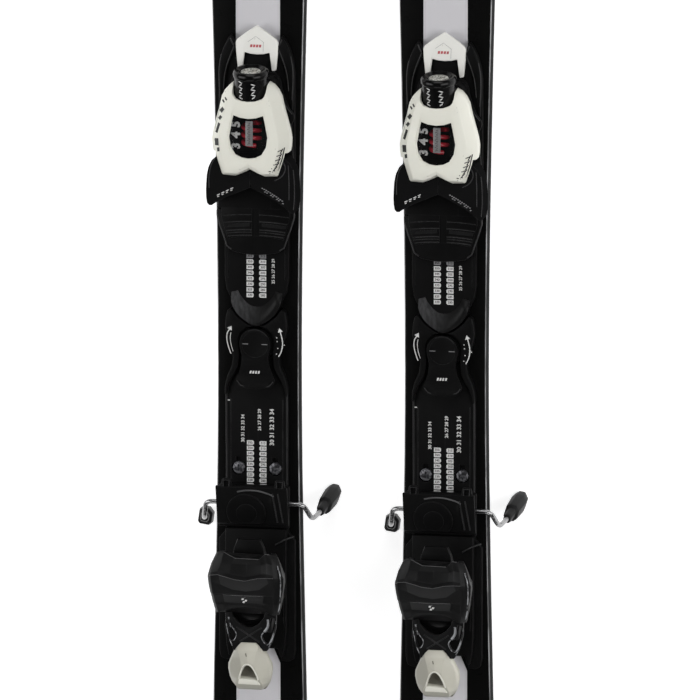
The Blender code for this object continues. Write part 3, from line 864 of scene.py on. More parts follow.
def base_sheet():
    sections = []
    for y in stations(BASE_START, BASE_END, 90):
        wide, low = half_width(y) - EDGE_WIDTH - GAP, base_height(y)
        high = low + EDGE_HEIGHT
        sections.append([(wide, y, low), (wide, y, high), (-wide, y, high), (-wide, y, low)])
    return loft("base_sheet", sections)


def build_ski():
    dress("ski_shell", ski_shell(), None, "ski", "top_sheet", "ski_body", sharp=50)
    dress("base_sheet", base_sheet(), SINTERED, "ski", "running_base", "running_base")
    for side, sign in (("left", -1), ("right", 1)):
        dress(f"edge_strip_{side}", edge_strip(sign), EDGE_STEEL, "ski", "edge_steel", f"edge_{side}")


# The plate under the binding

def tag(x, y, digits, lean):
    """A white label with one pair of cut corners and its number in black."""
    w, h, c = 3.1, 1.9, 0.9
    outline = [(-w, -h), (w - c, -h), (w, -h + c), (w, h - c), (w - c, h), (-w, h)]
    outline = [(x + px * lean, y + py) for px, py in outline]
    label = painted(prism("tag", outline, DECK, DECK + INK), WHITE_INK)
    return [label, painted(numeral(digits, (x - 0.2 * lean, y), 2.9, DECK + INK), DARK_INK)]


def front_rail():
    """Deck that the toe slides on, with a raised, ridged leaf at either side of its front end."""
    outline = mirrored([
        (0, 266), (17.2, 254.6), (18.4, 250.5), (20.2, 256), (22.6, 260.6), (25.4, 257),
        (29.4, 249), (32.4, 239), (33.7, 228), (33.7, 112), (28.5, 100), (28.3, 47), (26.6, 36),
        (22.6, 27.8), (17.4, 22.8), (9.4, 15.6), (0, 14.4),
    ])
    deck = soften(prism("front_rail", outline, GAP, DECK), 0.9)
    leaves, ridges = [], []
    for side in (-1, 1):
        leaf = [
            (22.4, 259.4), (29, 248.5), (32.4, 236), (33.2, 224), (32.6, 210), (32.2, 196),
            (30.6, 200), (28.4, 213), (26.6, 226), (24.0, 237), (18.8, 249), (19.6, 254),
        ]
        leaf = smooth([(x * side, y) for x, y in leaf])
        high = [(x * 0.95 + 1.3 * side, 226 + (y - 226) * 0.93) for x, y in leaf]
        leaves.append(stack("leaf", [(DECK - 1, leaf), (DECK + 1.4, leaf), (DECK + 2.8, high)]))
        # tubes along the leaves' ridges, in a paler black: painted highlights along them
        for line, radius in (
            ([(19.4, 250.6), (24.6, 237), (27.4, 226), (28.6, 213)], 0.45),
            ([(22.6, 257.6), (21.4, 254.6), (19.6, 251.4)], 0.55),
            ([(30.6, 243), (32.2, 233), (32.4, 222), (31.6, 205)], 0.4),
        ):
            ridge = smooth([(x * side, y) for x, y in line], closed=False)
            ridges.append(tube("ridge", [(x, y, DECK + 2.6) for x, y in ridge], radius, 8))
    grooves = [box("groove", (x - 0.4, 46, DECK - 0.5),
        (x + 0.4, 112, DECK + 2)) for x in (-25, 25)]
    deck = add(cut(deck, *grooves), *[soften(leaf, 0.4, 2) for leaf in leaves])
    return merged("front_rail", inked(BLACK, deck) + inked(RIDGE_HIGHLIGHT, *ridges))


def front_cap():
    """White cap at the front of the rail: a pentagon with two legs about a curved cut-out."""
    outline = mirrored([
        (0, 269.6), (8.6, 264), (17.3, 257.4), (18.9, 254.6), (18.4, 246), (16.8, 230.5),
        (13.0, 229.6), (12.4, 234), (11.0, 245.8), (6, 244.4), (0, 244.0),
    ])
    outline = [(x + 0.9, y) for x, y in outline]
    return soften(prism("front_cap", outline, DECK + GAP, CAP_TOP), 1.0, 3)


def cap_marks():
    top = CAP_TOP
    pentagon = [(-7.0, 255.0), (0.0, 260.0), (6.8, 255.0), (6.4, 246.6)]
    marks = inked(LINE_INK, ribbon(pentagon, 0.35, top))
    dashes = [bar((x, 251.6), (1.9, 2.4), top, lean=0.25) for x in (-4.0, -1.4, 1.2, 3.8)]
    return merged("cap_marks", marks + inked(RED_INK, *dashes))


def rear_rail():
    """Rear deck; at its front a round-ended ramp, the hub for the lever and two ridges behind."""
    rim = [
        (15.6, -22), (16.4, -30), (19.6, -37), (24.2, -43.6), (27.2, -52), (27.6, -62),
        (27.6, -176), (33.7, -184), (33.7, -282), (32, -289), (28, -291), (21.4, -290.6),
        (20.6, -281), (17, -274), (0, -274),
    ]
    rail = soften(prism("rear_rail", mirrored(rim), GAP, DECK), 0.8)
    # three lines across the ramp: its foot, its crest and its outer rim, from the middle outwards
    foot = [(0, 21.6), (5.6, 22.8), (10.4, 26.6), (14.0, 31.0), (16.6, 35.6)]
    crest = [(0, 8.6), (5.0, 10.6), (11.6, 17.6), (17.4, 26.4), (19.8, 34.6)]
    outer = [(0, 5.4), (9.0, 9.2), (17.0, 16.2), (21.4, 24.4), (22.6, 34.0)]
    lines = [smooth([(-x, y) for x, y in reversed(line[1:])] + line, closed=False, steps=4)
             for line in (foot, crest, outer)]
    sections = []
    for (fx, fy), (cx, cy), (ox, oy) in zip(*lines):
        middle = ((fx + cx) / 2, (fy + cy) / 2)
        fade = smooth_step((oy - 26) / 8)
        top = HUB_TOP - 0.4 - (HUB_TOP - DECK - 0.9) * fade
        sections.append([
            (fx, fy, DECK + 0.1), (middle[0], middle[1], DECK + (top - DECK) * 0.62), (cx, cy, top),
            ((cx + ox) / 2, (cy + oy) / 2, top + 0.1), (ox, oy, top - 0.7), (ox, oy, GAP),
            (fx, fy, GAP),
        ])
    ramp = loft("ramp", sections)
    hub_half = [
        (0, 3.4), (8.6, 6.9), (17.2, 13.4), (22.2, 20.2), (25.2, 18.4), (26.6, 12), (27.2, 4),
        (25.4, -5), (22.6, -12), (20.8, -18), (20.4, -24), (21.6, -31), (25.2, -39), (27.4, -48),
        (27.6, -56), (25.8, -56), (25.2, -50), (22.4, -43), (18.6, -37), (15.6, -30.6),
        (14.6, -22), (14.6, -16), (15.0, -12), (15.2, -6), (13.2, -1), (8.6, 3.0), (4, 4.2),
        (0, 2.4),
    ]
    hub = soften(prism("hub", mirrored(hub_half), GAP, HUB_TOP - 0.6), 0.8)
    seat = rod("seat", (0, LEVER_PIVOT.y, GAP), (0, LEVER_PIVOT.y, HUB_TOP - 2.6), 16.2, 64)
    holes = [rod("screw_hole", (x, RAIL_SCREW_Y, -1), (x, RAIL_SCREW_Y, DECK + 1), 6.3)
             for x in (-RAIL_SCREW_X, RAIL_SCREW_X)]
    slots = []
    for x in (-RAIL_SCREW_X, RAIL_SCREW_X):
        low, high = (x - 2.6, RAIL_SCREW_Y + 4, DECK - 2.4), (x + 2.6, RAIL_SCREW_Y + 10, DECK + 2)
        slots.append(box("slot", low, high))
    rail = painted(cut(rail, *holes, *slots), BLACK)
    # the ridges sink below the deck before the place that the heel's slide can reach
    # the ridges' paler black is a painted highlight along them
    ridges = [tube("ridge", [(x, -54, DECK + 0.6), (x, -98, DECK + 0.2), (x, -103, DECK - 0.7),
                             (x, -150, DECK - 0.7)], 0.9, 12) for x in (-26.6, 26.6)]
    seams = [tube("seam", [(x, -60, DECK - 0.1), (x, -166, DECK - 0.1)], 0.35, 8)
             for x in (-22.9, 22.9)]
    pieces = [rail] + inked(RAMP, ramp) + inked(BLACK, hub, seat, *seams) + inked(RIDGE_HIGHLIGHT, *ridges)
    return merged("rear_rail", pieces)


def rail_screw(x):
    """Countersunk screw head with a cross recess."""
    profile = [(0, 0), (0, 2.5), (1.6, 2.6), (2.6, 5.6), (3.9, 5.7), (4.6, 5.2), (5.0, 3.6),
               (5.1, 0)]
    head = turned("rail_screw", profile, (x, RAIL_SCREW_Y, 0.5), (0, 0, 1))
    recesses = [box("recess", (x - a, RAIL_SCREW_Y - b, 3.4), (x + a, RAIL_SCREW_Y + b, 7))
                for a, b in ((3.0, 0.75), (0.75, 3.0))]
    return cut(head, *recesses)


def plate_lever():
    """Round head with a flared handle whose rear edge turns up."""
    half = [(LEVER_HEAD * math.sin(a), LEVER_PIVOT.y + LEVER_HEAD * math.cos(a))
            for a in [math.radians(d) for d in range(0, 120, 8)]]
    half += [(11.6, -20), (11.6, -24), (12.6, -30), (15.0, -37), (17.0, -41.4), (16.0, -45),
             (12.4, -47.6), (6, -48.9), (0, -49.2)]
    lever = prism("plate_lever", mirrored(half), HUB_TOP - 0.1, LEVER_TOP)

    def disc(name, low, high, radius):
        return rod(name, (0, LEVER_PIVOT.y, low), (0, LEVER_PIVOT.y, high), radius, 64)

    lever = add(lever, disc("pivot_disc", HUB_TOP - 2.3, HUB_TOP + 0.4, LEVER_HEAD - 0.2))
    dish = disc("dish", LEVER_TOP - 0.6, LEVER_TOP + 3, 11.4)
    slope = prism("slope", [(-25, LEVER_TOP + 2), (-25, LEVER_TOP), (-38, LEVER_TOP - 2.3),
                            (-44, LEVER_TOP - 2.1), (-47.6, LEVER_TOP - 0.2),
                            (-50, LEVER_TOP + 0.6), (-50, LEVER_TOP + 2)], -22, 22, across=True)
    lever = soften(cut(baked(soften(lever, 0.9)), dish, slope), 0.3, 3, 35)
    # a paler arc round the head and a paler lip along the handle's rear edge: painted highlights
    arc_radius = LEVER_HEAD - 0.6
    arc = [(arc_radius * math.sin(a), LEVER_PIVOT.y + arc_radius * math.cos(a), LEVER_TOP - 0.25)
           for a in [math.radians(d) for d in range(-28, 62, 6)]]
    lip = smooth([(-15.8, -42.4), (-12.2, -46.4), (-6, -47.9), (6, -47.9), (12.2, -46.4),
                  (16.0, -42.6)],
                 closed=False)
    edges = [tube("arc", arc, 0.3, 8), tube("lip", [(x, y, LEVER_TOP - 0.75) for x, y in lip], 0.4, 8)]
    return merged("plate_lever", inked(BLACK, lever) + inked(RIDGE_HIGHLIGHT, *edges))


def lever_marks():
    top = LEVER_TOP
    ticks = [bar((x, LEVER_PIVOT.y + 0.2), (5.2, 0.6), top - 0.6) for x in (-8.6, 8.4)]
    dashes = [bar((x, -34.6), (1.5, 2.4), top - 1.3, lean=0.3) for x in (-3.9, -1.5, 0.9, 3.3)]
    return merged("lever_marks", inked(GREY_INK, *ticks) + inked(WHITE_INK, *dashes))


def arrow(points, width, height):
    """A curved printed arrow that points to its first point."""
    line = smooth(points, closed=False)
    tip, back = Vector(points[0]), Vector(points[1])
    along = (tip - back).normalized()
    side = Vector((-along.y, along.x))
    head = [tuple(tip + along * 3.6), tuple(tip - side * 2.3), tuple(tip + side * 2.3)]
    return [ribbon(line, width, height), prism("arrow_head", head, height, height + INK)]


def front_deck_marks():
    pieces = []
    for row in range(8):
        y = 66.2 - 4.93 * row
        # the first row is inked grey with black numbers: a painted shadow over it
        inks = (WHITE_INK, DARK_INK) if row else (GREY_INK, BLACK)
        for x, first, turn in ((-5.9, 355, 1), (5.2, 315, -1)):
            label = tag(x, y, str(first - 5 * row), turn)
            pieces += [painted(piece, ink) for piece, ink in zip(label, inks)]
    pieces.append(painted(numeral("25 26 27 28 29", (14.6, 53.4), 3.6, DECK, 90, 0.012), WHITE_INK))
    return merged("front_deck_marks", pieces)


def rear_deck_marks():
    pieces = []
    for row in range(9):
        y = -98.4 - 4.72 * row
        pieces += tag(-5.7, y, str(355 - 5 * row), 1)
        pieces += tag(5.3, y - 0.3, str(315 - 5 * row), -1)
    for x, y, size, text in ((-12.3, -86.0, 4.0, "30 31 32 33 34"),
                             (2.4, -78.0, 4.0, "26 27 28 29"),
                             (13.4, -84.2, 5.3, "30 31 32 33 34")):
        pieces.append(painted(numeral(text, (x, y), size, DECK, 90), WHITE_INK))
    pieces += inked(WHITE_INK, bar((-25.0, -61.5), (2.6, 0.9), DECK + 0.4))
    return merged("rear_deck_marks", pieces)


def hub_marks():
    top = HUB_TOP - 0.6
    left = [(-23.2, 1.8), (-25.2, -1.6), (-25.6, -7), (-24.2, -13.4), (-22.0, -19.6)]
    inner = [(-22.0, -1), (-22.6, -6), (-21.6, -12.4), (-20.0, -17.6)]
    right = [(21.6, 0.8), (23.0, -4.6), (23.6, -10.4), (22.2, -16.8), (20.0, -21)]
    line = ribbon(smooth(inner, closed=False), 0.5, top)
    pieces = arrow(left, 0.8, top) + [line] + arrow(right, 0.9, top)
    pieces += [bar((x, y), (0.9, 0.9), top) for x, y in
               ((18.4, -4.2), (18.8, -7.6), (19.4, -13.6), (18.2, -18.6), (25.0, -10.4))]
    return merged("hub_marks", inked(WHITE_INK, *pieces))


def build_plate():
    dress("front_deck", front_rail(), None, "ski", "black_plastic", "front_rail")
    dress("front_cap_shell", front_cap(), CAP_WHITE, "ski", "white_plastic", "front_cap")
    dress("front_cap_marks", cap_marks(), None, "ski", "white_plastic")
    dress("rear_deck", rear_rail(), None, "ski", "black_plastic", "rear_rail")
    for side, x in (("left", -RAIL_SCREW_X), ("right", RAIL_SCREW_X)):
        dress(f"cross_screw_{side}", rail_screw(x), SCREW, "ski", "black_screw", f"rail_screw_{side}")
    dress("length_lever_plate", plate_lever(), None, "length_lever", "black_plastic", "plate_lever")
    dress("length_lever_marks", lever_marks(), None, "length_lever", "white_plastic")
    dress("front_deck_labels", front_deck_marks(), None, "ski", "white_plastic")
    dress("rear_deck_labels", rear_deck_marks(), None, "ski", "white_plastic")
    dress("hub_arrows", hub_marks(), None, "ski", "white_plastic")


# The toe

def toe_axis(distance):
    """A point on the release screw's axis, this far behind its face."""
    return Vector((0.0, SCREW_FACE.y - distance * math.cos(TOE_TILT),
                   SCREW_FACE.z - distance * math.sin(TOE_TILT)))


TOE_BACK = (0.0, -math.cos(TOE_TILT), -math.sin(TOE_TILT))
NOSE_RADIUS = 14.5
COVER_MIDDLE = 180                       # the Y that the cover's outlines are drawn in to

COVER_HALF = [
    (14.6, 223.5), (18.8, 221), (22.8, 216.5), (25.6, 211), (28, 200), (30.7, 190.5), (33.2, 181),
    (34.3, 174), (33.9, 167), (32.5, 160), (30, 152), (26.7, 142.4), (25.6, 141.2), (14, 140.5),
    (7, 143.2), (0, 146.5),
]
WINDOW_HALF = [(0, 193.6), (7, 194.4), (13.2, 196.6), (15.0, 188), (16.9, 177.5), (15.6, 169),
               (11.6, 162.2), (6, 159.4), (0, 158.6)]


def toe_cover():
    """White shell: an upright skirt, a sloping flank and a crowned top with the window."""
    full = mirrored(COVER_HALF)

    def drawn_in(factor):
        return [(x * factor, COVER_MIDDLE + (y - COVER_MIDDLE) * (0.5 + 0.5 * factor)) for x, y in full]

    shell = stack("toe_cover", [
        (19, full), (31.0, full), (32.4, drawn_in(0.98)), (COVER_TOP - 2.3, drawn_in(0.765)),
        (COVER_TOP - 1.8, drawn_in(0.715)), (COVER_TOP, drawn_in(0.55)),
    ])
    hollow = stack("hollow", [
        (height, scaled(full, factor, COVER_MIDDLE)) for height, factor in
        ((10, 0.93), (30, 0.93), (COVER_TOP - 5.0, 0.73), (COVER_TOP - 2.6, 0.62))
    ])
    mouth = rod("mouth", toe_axis(-20), toe_axis(27), 15.4, 64)
    throat = [(-14.9, 240), (-14.9, 216.5), (-14.0, 213.4), (-11.6, 210.8), (-6, 209.0), (0, 208.6)]
    throat += [(-x, y) for x, y in reversed(throat[:-1])]
    throat = prism("throat", throat, 5, COVER_TOP + 9)
    sill = box("wing_space", (-50, 100, 5), (50, 163, WING_TOP + 0.6))
    shell = cut(soften(shell, 0.35, 2, 30), hollow, mouth, throat, sill)
    window = prism("window_hole", mirrored(WINDOW_HALF), COVER_TOP - 8, COVER_TOP + 6)
    ledge_outline = scaled(mirrored(WINDOW_HALF), 1.09, 177.5)
    ledge = prism("ledge", ledge_outline, COVER_TOP - 0.75, COVER_TOP + 6)
    return soften(cut(shell, window, ledge), 0.35, 2, 40)


def toe_window():
    outline = scaled(mirrored(WINDOW_HALF), 0.975, 178)
    return soften(prism("toe_window", outline, COVER_TOP - 1.9, COVER_TOP - 0.95), 0.3, 2)


def cover_marks():
    """Slanted bars down the left flank, fine strokes down the right one."""
    bars = []
    flank = ((-21.8, 208.6, 3.0, 5.2, -34), (-24.2, 199.8, 3.2, 4.8, -28),
             (-25.8, 193.0, 2.8, 3.8, -24), (-27.8, 184.0, 2.6, 9.0, -12),
             (-28.6, 171.8, 4.4, 6.2, 12), (-27.0, 165.4, 3.0, 3.4, 20))
    for x, y, width, length, turn in flank:
        bars.append(bar((x, y), (width, length), 0.0, angle=turn, lean=0.5))
    lines = [ribbon([(30.6, 168.4), (28.4, 158), (25.6, 149.6), (21.6, 143.8)], 0.8, 0.0)]
    for x, y, turn in ((28.4, 165.4, 64), (27.4, 161.2, 62), (26.2, 157.2, 60), (24.8, 153.4, 56),
                       (23.0, 150.0, 50), (20.8, 147.2, 30)):
        lines.append(bar((x, y), (4.8, 0.8), 0.0, angle=turn))
        lines.append(bar((x - 1.2, y + 0.6), (3.2, 0.8), 0.0, angle=turn - 45))
    pale = [ribbon([(-22.0, 215.4), (-27.4, 199), (-30.8, 184), (-31.4, 172)], 0.35, 0.0)]
    surface = toe_cover()
    marks = merged("cover_marks", inked(DARK_INK, *bars, *lines) + inked(GREY_INK, *pale))
    marks = draped(marks, surface)
    bpy.data.objects.remove(surface, do_unlink=True)
    return marks


def toe_housing():
    """Spring chamber under the cover and the round nose with its collar."""
    outline = mirrored([(13, 213), (21, 205), (23, 190), (24, 163.5)])
    block = soften(prism("toe_housing", outline, SOLE_PLANE + GAP, 37.0), 1.0)
    profile = [(5.2, 0), (3.4, 9.0), (-0.8, 9.4), (-2.2, 11.0), (-3.3, 12.2), (-3.2, 13.8),
               (-2.2, 15.0), (-0.4, 15.6), (1.8, 15.6), (2.8, 15.2), (3.4, NOSE_RADIUS),
               (27, NOSE_RADIUS), (27, 0)]
    nose = turned("nose", profile, toe_axis(0), TOE_BACK, 96)
    chamber = box("chamber", (-17, 157, 17), (17, 198, 50))
    return cut(add(block, nose), chamber)


def barrel_marks():
    """Two columns of small scale marks on top of the nose."""
    pieces = []
    radius = NOSE_RADIUS + 0.02
    for x, count, start in ((-6.8, 7, 4.6), (4.4, 6, 6.2)):
        for k in range(count):
            angle = math.asin(x / radius)
            mark = bar((0, 0), (3.6 - 0.9 * (k % 2), 0.9), 0.0, lean=0.5)
            place = toe_axis(start + 2.4 * k)
            mark.matrix_world = Matrix.Translation(place * MM) @ Matrix.Rotation(
                TOE_TILT, 4, "X") @ Matrix.Rotation(angle, 4, "Y") @ Matrix.Translation(
                (0, 0, radius * MM)) @ Matrix.Rotation(math.radians(28 if k % 2 else -22), 4, "Z")
            pieces.append(baked(mark))
    return merged("barrel_marks", inked(WHITE_INK, *pieces))


def toe_screw():
    """Release screw: a rough cast face with a slot, set in the collar."""
    profile = [(-1.4, 0), (-2.0, 3.4), (-1.9, 7.4), (-1.5, 8.4), (-0.8, 8.8), (3.0, 8.8),
               (3.0, 4.2), (36, 4.0), (36, 0)]
    screw = turned("toe_screw", profile, toe_axis(0), TOE_BACK, 64)
    slot = box("slot", (-6.6, -1.2, -0.9), (6.6, 3.2, 0.9))
    slot.matrix_world = Matrix.Translation(toe_axis(0) * MM) @ Matrix.Rotation(TOE_TILT, 4, "X")
    return soften(cut(screw, slot), 0.25, 2, 40)


def toe_spring():
    """Heavy red release spring."""
    turns, per_turn, radius = 3.0, 32, 7.4
    low, high = span("toe_spring")
    start, end = low.y + 1.6, high.y - 2.4
    count = int(turns * per_turn)
    points = []
    for k in range(count + 1):
        angle = 2 * math.pi * k / per_turn + 0.9
        y = start + (end - start) * k / count
        points.append((radius * math.cos(angle), y, 28.4 + radius * math.sin(angle)))
    return tube("toe_spring", points, 1.9, 18)


def toe_indicator():
    low, high = span("toe_indicator")
    strip = soften(box("toe_indicator", low, high), 0.4)
    ticks = [bar((-0.3 + 0.5 * (k % 2), low.y + 2.2 + 1.6 * k),
                 (2.8 - 0.8 * (k % 2), 0.4), high.z, angle=24)
             for k in range(12)]
    return merged("toe_indicator", inked(STRIP, strip) + inked(DARK_INK, *ticks))


def window_scale():
    """The release scale's numbers beside the spring, over the dark chamber floor."""
    pieces = [numeral(text, (-12.0, y), 10.4, 36.5, 90, 0.045)
              for y, text in ((187.4, "5"), (178.0, "4"), (168.4, "3"))]
    pieces = inked(WHITE_INK, *pieces)
    backing = prism("backing", [(-15.8, 158), (15.8, 158), (15.8, 197), (-15.8, 197)], 16.5, 17.2)
    side = prism("side", [(-16.2, 160), (-9.2, 160), (-9.2, 193), (-16.2, 193)], 35.4, 36.5)
    return merged("window_scale", pieces + inked(GLOSS_BLACK, backing, side))


def toe_base():
    """Slide block under the toe: a lobe at either side of the nose, then out to the wings."""
    outline = mirrored([
        (8, 227), (12.4, 229.6), (17.2, 229.4), (20.8, 226.6), (22.8, 221.4), (24.0, 214),
        (26.6, 205.6), (30, 198), (33.2, 194), (34.6, 190.6), (33.6, 187.4), (31.6, 184),
        (32.0, 172), (33.4, 152), (33, 108), (27.5, 84), (23, 74), (10, 68.5),
    ])
    plate = prism("toe_base", outline, DECK + GAP, SOLE_PLANE)
    high = mirrored([(8, 225.6), (12.6, 227.6), (16.6, 227), (19.6, 224), (21.4, 217),
                     (23.4, 208), (26, 198), (28.6, 184), (29, 168), (29, 160)])
    block = stack("block", [(SOLE_PLANE - 1, [(x * 1.05, y) for x, y in high]),
                            (SOLE_PLANE + 4, high),
                            (SOLE_PLANE + 8, [(x * 0.92, y - 1) for x, y in high])])
    plate = cut(soften(plate, 1.0), box("pad_seat", (-50, 40, 9), (50, 109, 20)))
    # paler tubes along the block's front edges: painted highlights
    line = smooth([(13.4, 226.0), (17.6, 219), (22.4, 211), (27.6, 200.6),
                   (32.6, 193.4)], closed=False)
    ridges = [tube("ridge", [(x * side, y, SOLE_PLANE + 7.6 - 6.4 * k / (len(line) - 1))
                             for k, (x, y) in enumerate(line)], 0.4, 8) for side in (-1, 1)]
    # its front end stands clear of the rail's leaves and the cap, which it slides over
    step = max(CAP_TOP, DECK + 2.8) + 0.4
    undercut = box("undercut", (-50, 186, DECK - 1), (50, 245, step))
    block = cut(add(plate, soften(block, 1.0)), undercut)
    return merged("toe_base", inked(BLACK, block) + inked(RIDGE_HIGHLIGHT, *ridges))


def toe_wing(side):
    """Half of the boot's toe clamp: front wall, side wall and the roof over the sole."""
    rear = {
        -1: [(GAP, 131.6), (5, 129.6), (10, 127.4), (22.8, 121.9), (30.2, 117.6), (34.0, 115.0),
             (36.6, 114.6), (38.6, 116.4), (39.5, 121)],
        1: [(GAP, 131.6), (5, 129.6), (10, 127.2), (22.8, 120.6), (30.2, 115.2), (35.6, 110.2),
            (37.4, 109.4), (38.8, 111.4), (39.6, 118)],
    }[side]
    outline = [(GAP, 155.7)] + rear + [
        (39.7, 126), (39.5, 133), (38.9, 141), (37.4, 148), (34.2, 154.4), (31, 157.4),
        (26, 159), (17, 160.5), (8, 158.5),
    ]
    outline = [(x * side, y) for x, y in outline]
    # the roof falls away to the outside
    wing = prism("toe_wing", outline, SOLE_PLANE + GAP, WING_TOP)
    flank = prism("flank", [(side * 33.4, 165), (side * 44, 165), (side * 44, 100),
                            (side * 31.5, 100)], 20, 60)
    flank.matrix_world = Matrix.Translation(Vector((side * 33, 0, WING_TOP)) * MM) @ Matrix.Rotation(
        math.radians(side * 24), 4, "Y") @ Matrix.Translation(Vector((side * -33, 0, -20)) * MM)
    low, high = sorted((-1.0 * side, 30.5 * side))
    space = box("sole_space", (low, 90, 5), (high, 138, 29))
    wing = soften(cut(wing, flank, space), 1.0, 4, 24)
    # paler tubes along the creases: painted highlights
    creases = {
        -1: [([(-30.6, 157.4), (-34.6, 150), (-36.6, 140), (-36.6, 130)], 0.35)],
        1: [([(27.6, 157.2), (30.6, 151.6), (30.2, 146.4), (26.6, 141.4), (21.4, 138.6)], 0.35),
            ([(37.4, 148), (38.2, 138), (38.4, 124), (37.6, 113)], 0.3),
            ([(33.4, 152), (34.0, 138), (34.0, 122)], 0.3)],
    }[side]
    ridges = [tube("crease", [(x, y, WING_TOP - max(0.0, abs(x) - 33) * 0.44) for x, y in
                              smooth(line, closed=False)], radius, 8) for line, radius in creases]
    return merged("toe_wing", inked(WING_BLACK, wing) + inked(RIDGE_HIGHLIGHT, *ridges))


def wing_marks(side):
    """Short dashes printed along the edge of the V."""
    pieces = []
    if side < 0:
        for k in range(4):
            x = 16.4 + 3.9 * k
            pieces.append(bar((-x, 130.4 - 0.5 * 3.9 * k), (2.8, 0.7), WING_TOP, angle=27))
            pieces.append(bar((-x - 0.2, 128.8 - 0.5 * 3.9 * k), (1.8, 0.7), WING_TOP, angle=27))
        ink = WHITE_INK
    else:
        for k in range(11):
            x = 10.6 + 1.75 * k
            y = 131.4 - 0.5 * 1.75 * k - 0.018 * k * k
            pieces.append(bar((x, y), (1.2, 0.9), WING_TOP, angle=-30, lean=0.3))
            if k % 3:
                pieces.append(bar((x + 0.6, y - 2.2), (1.2, 0.9), WING_TOP, angle=-30, lean=0.3))
        ink = GREY_INK
    return merged("wing_marks", inked(ink, *pieces))


def afd_plate():
    """Sliding pad: a ribbed plateau with a centre groove, framed by a rim, and a low rear flap."""
    outline = mirrored([(34.5, 107), (34.5, 102), (31.5, 92), (29.2, 85.5), (25.5, 74.8),
                        (22, 72), (19, 70.3), (9, 68.6), (0, 68)])
    plate = soften(prism("afd_plate", outline, 9 + GAP, SOLE_PLANE - 1.1), 0.5, 2)
    plateau = mirrored([(30.4, 110), (30.0, 101), (27.4, 91), (25.6, 85), (24.6, 82.0),
                        (12, 84.2), (0, 84.9)])
    plateau = soften(prism("plateau", plateau, SOLE_PLANE - 2.0, SOLE_PLANE - 0.35), 0.5, 3)
    groove = box("groove", (-3.2, 82, SOLE_PLANE - 1.0), (3.2, 112, SOLE_PLANE + 2))
    plateau = cut(baked(plateau), groove)
    rims, ribs = [], []
    # the rims are a paler black: painted highlights along them
    for side in (-1, 1):
        line = [(34.0 * side, 106.6), (33.9 * side, 102), (31.0 * side, 92), (28.6 * side, 85.5),
                (25.2 * side, 75.4), (21.4 * side, 72.6)]
        rims.append(tube("rim", [(x, y, SOLE_PLANE - 0.9) for x, y in line], 0.6, 10))
        for y, reach, width in (
            (103.6, 29, 0.3), (97.6, 28, 0.4), (90.4, 26, 0.45), (88.2, 25.6, 0.3),
            (85.6, 24.6, 0.4)
        ):
            points = [(side * (3.4 + (reach - 3.4) * t), y - 1.6 * t * t, SOLE_PLANE - 0.45)
                      for t in [k / 6 for k in range(7)]]
            ribs.append(tube("rib", points, width, 8))
    # a paler band across the plateau; the ribs are this paler black too
    worn = []
    for side in (-1, 1):
        points = [(side * 5.5, 96.2), (side * 27.0, 94.6), (side * 26.4, 91.8), (side * 5.5, 93.4)]
        worn.append(prism("pale_band", points, SOLE_PLANE - 0.36, SOLE_PLANE - 0.27))
    pieces = inked(PAD, plate, plateau) + inked(RIDGE_HIGHLIGHT, *rims) + inked(PAD_PALE, *worn, *ribs)
    return merged("afd_plate", pieces)


def build_toe():
    unit, black = "toe_unit", "black_plastic"
    dress("toe_slide_block", toe_base(), None, unit, black, "toe_base")
    dress("toe_nose", toe_housing(), GLOSS_BLACK, unit, black, "toe_housing")
    dress("toe_barrel_marks", barrel_marks(), None, unit, "white_plastic")
    dress("toe_cover_shell", toe_cover(), WHITE, unit, "white_plastic", "toe_cover", sharp=28)
    dress("toe_cover_marks", cover_marks(), None, unit, black)
    dress("toe_window_pane", toe_window(), CLEAR, unit, "clear_window", "toe_window")
    dress("toe_coil", toe_spring(), RED, unit, "red_spring", "toe_spring", sharp=60)
    dress("toe_window_scale", window_scale(), None, unit, black)
    dress("toe_indicator_strip", toe_indicator(), None, "release_indicator", "bright_steel",
          "toe_indicator")
    dress("toe_screw_face", toe_screw(), CAST, "release_screw", "bright_steel", "toe_screw")
    for side, sign in (("left", -1), ("right", 1)):
        body = f"wing_{side}"
        dress(f"toe_clamp_{side}", toe_wing(sign), None, body, black, f"toe_wing_{side}", sharp=40)
        dress(f"toe_clamp_marks_{side}", wing_marks(sign), None, body, "white_plastic")
    dress("sliding_pad", afd_plate(), None, "sole_pad", "slide_pad", "afd_plate")


# The brake

CHANNEL_DEPTH = 2.65                     # of the wire's channel, below the axle


def brake_base():
    low, high = span("brake_base")
    block = soften(box("brake_base", low, (29.4, high.y, high.z)), 0.8)
    reach = WIRE_RADIUS + GAP
    channel = box("channel", (-40, AXLE.y - reach, AXLE.z - CHANNEL_DEPTH),
        (40, AXLE.y + reach, 20))
    return cut(block, channel)


def brake_wire():
    """One bent steel wire: the right arm is splayed forwards, the left one hangs straight."""
    corners = [
        (-51.2, -170.6, -20), (-48.6, -168, -3), (-44.5, AXLE.y, AXLE.z), (41.5, AXLE.y, AXLE.z),
        (46.9, -166.2, -4), (49.4, -163.6, -24),
    ]
    return tube("brake_wire", rounded_path(corners, 6.0), WIRE_RADIUS - 0.2, 24)


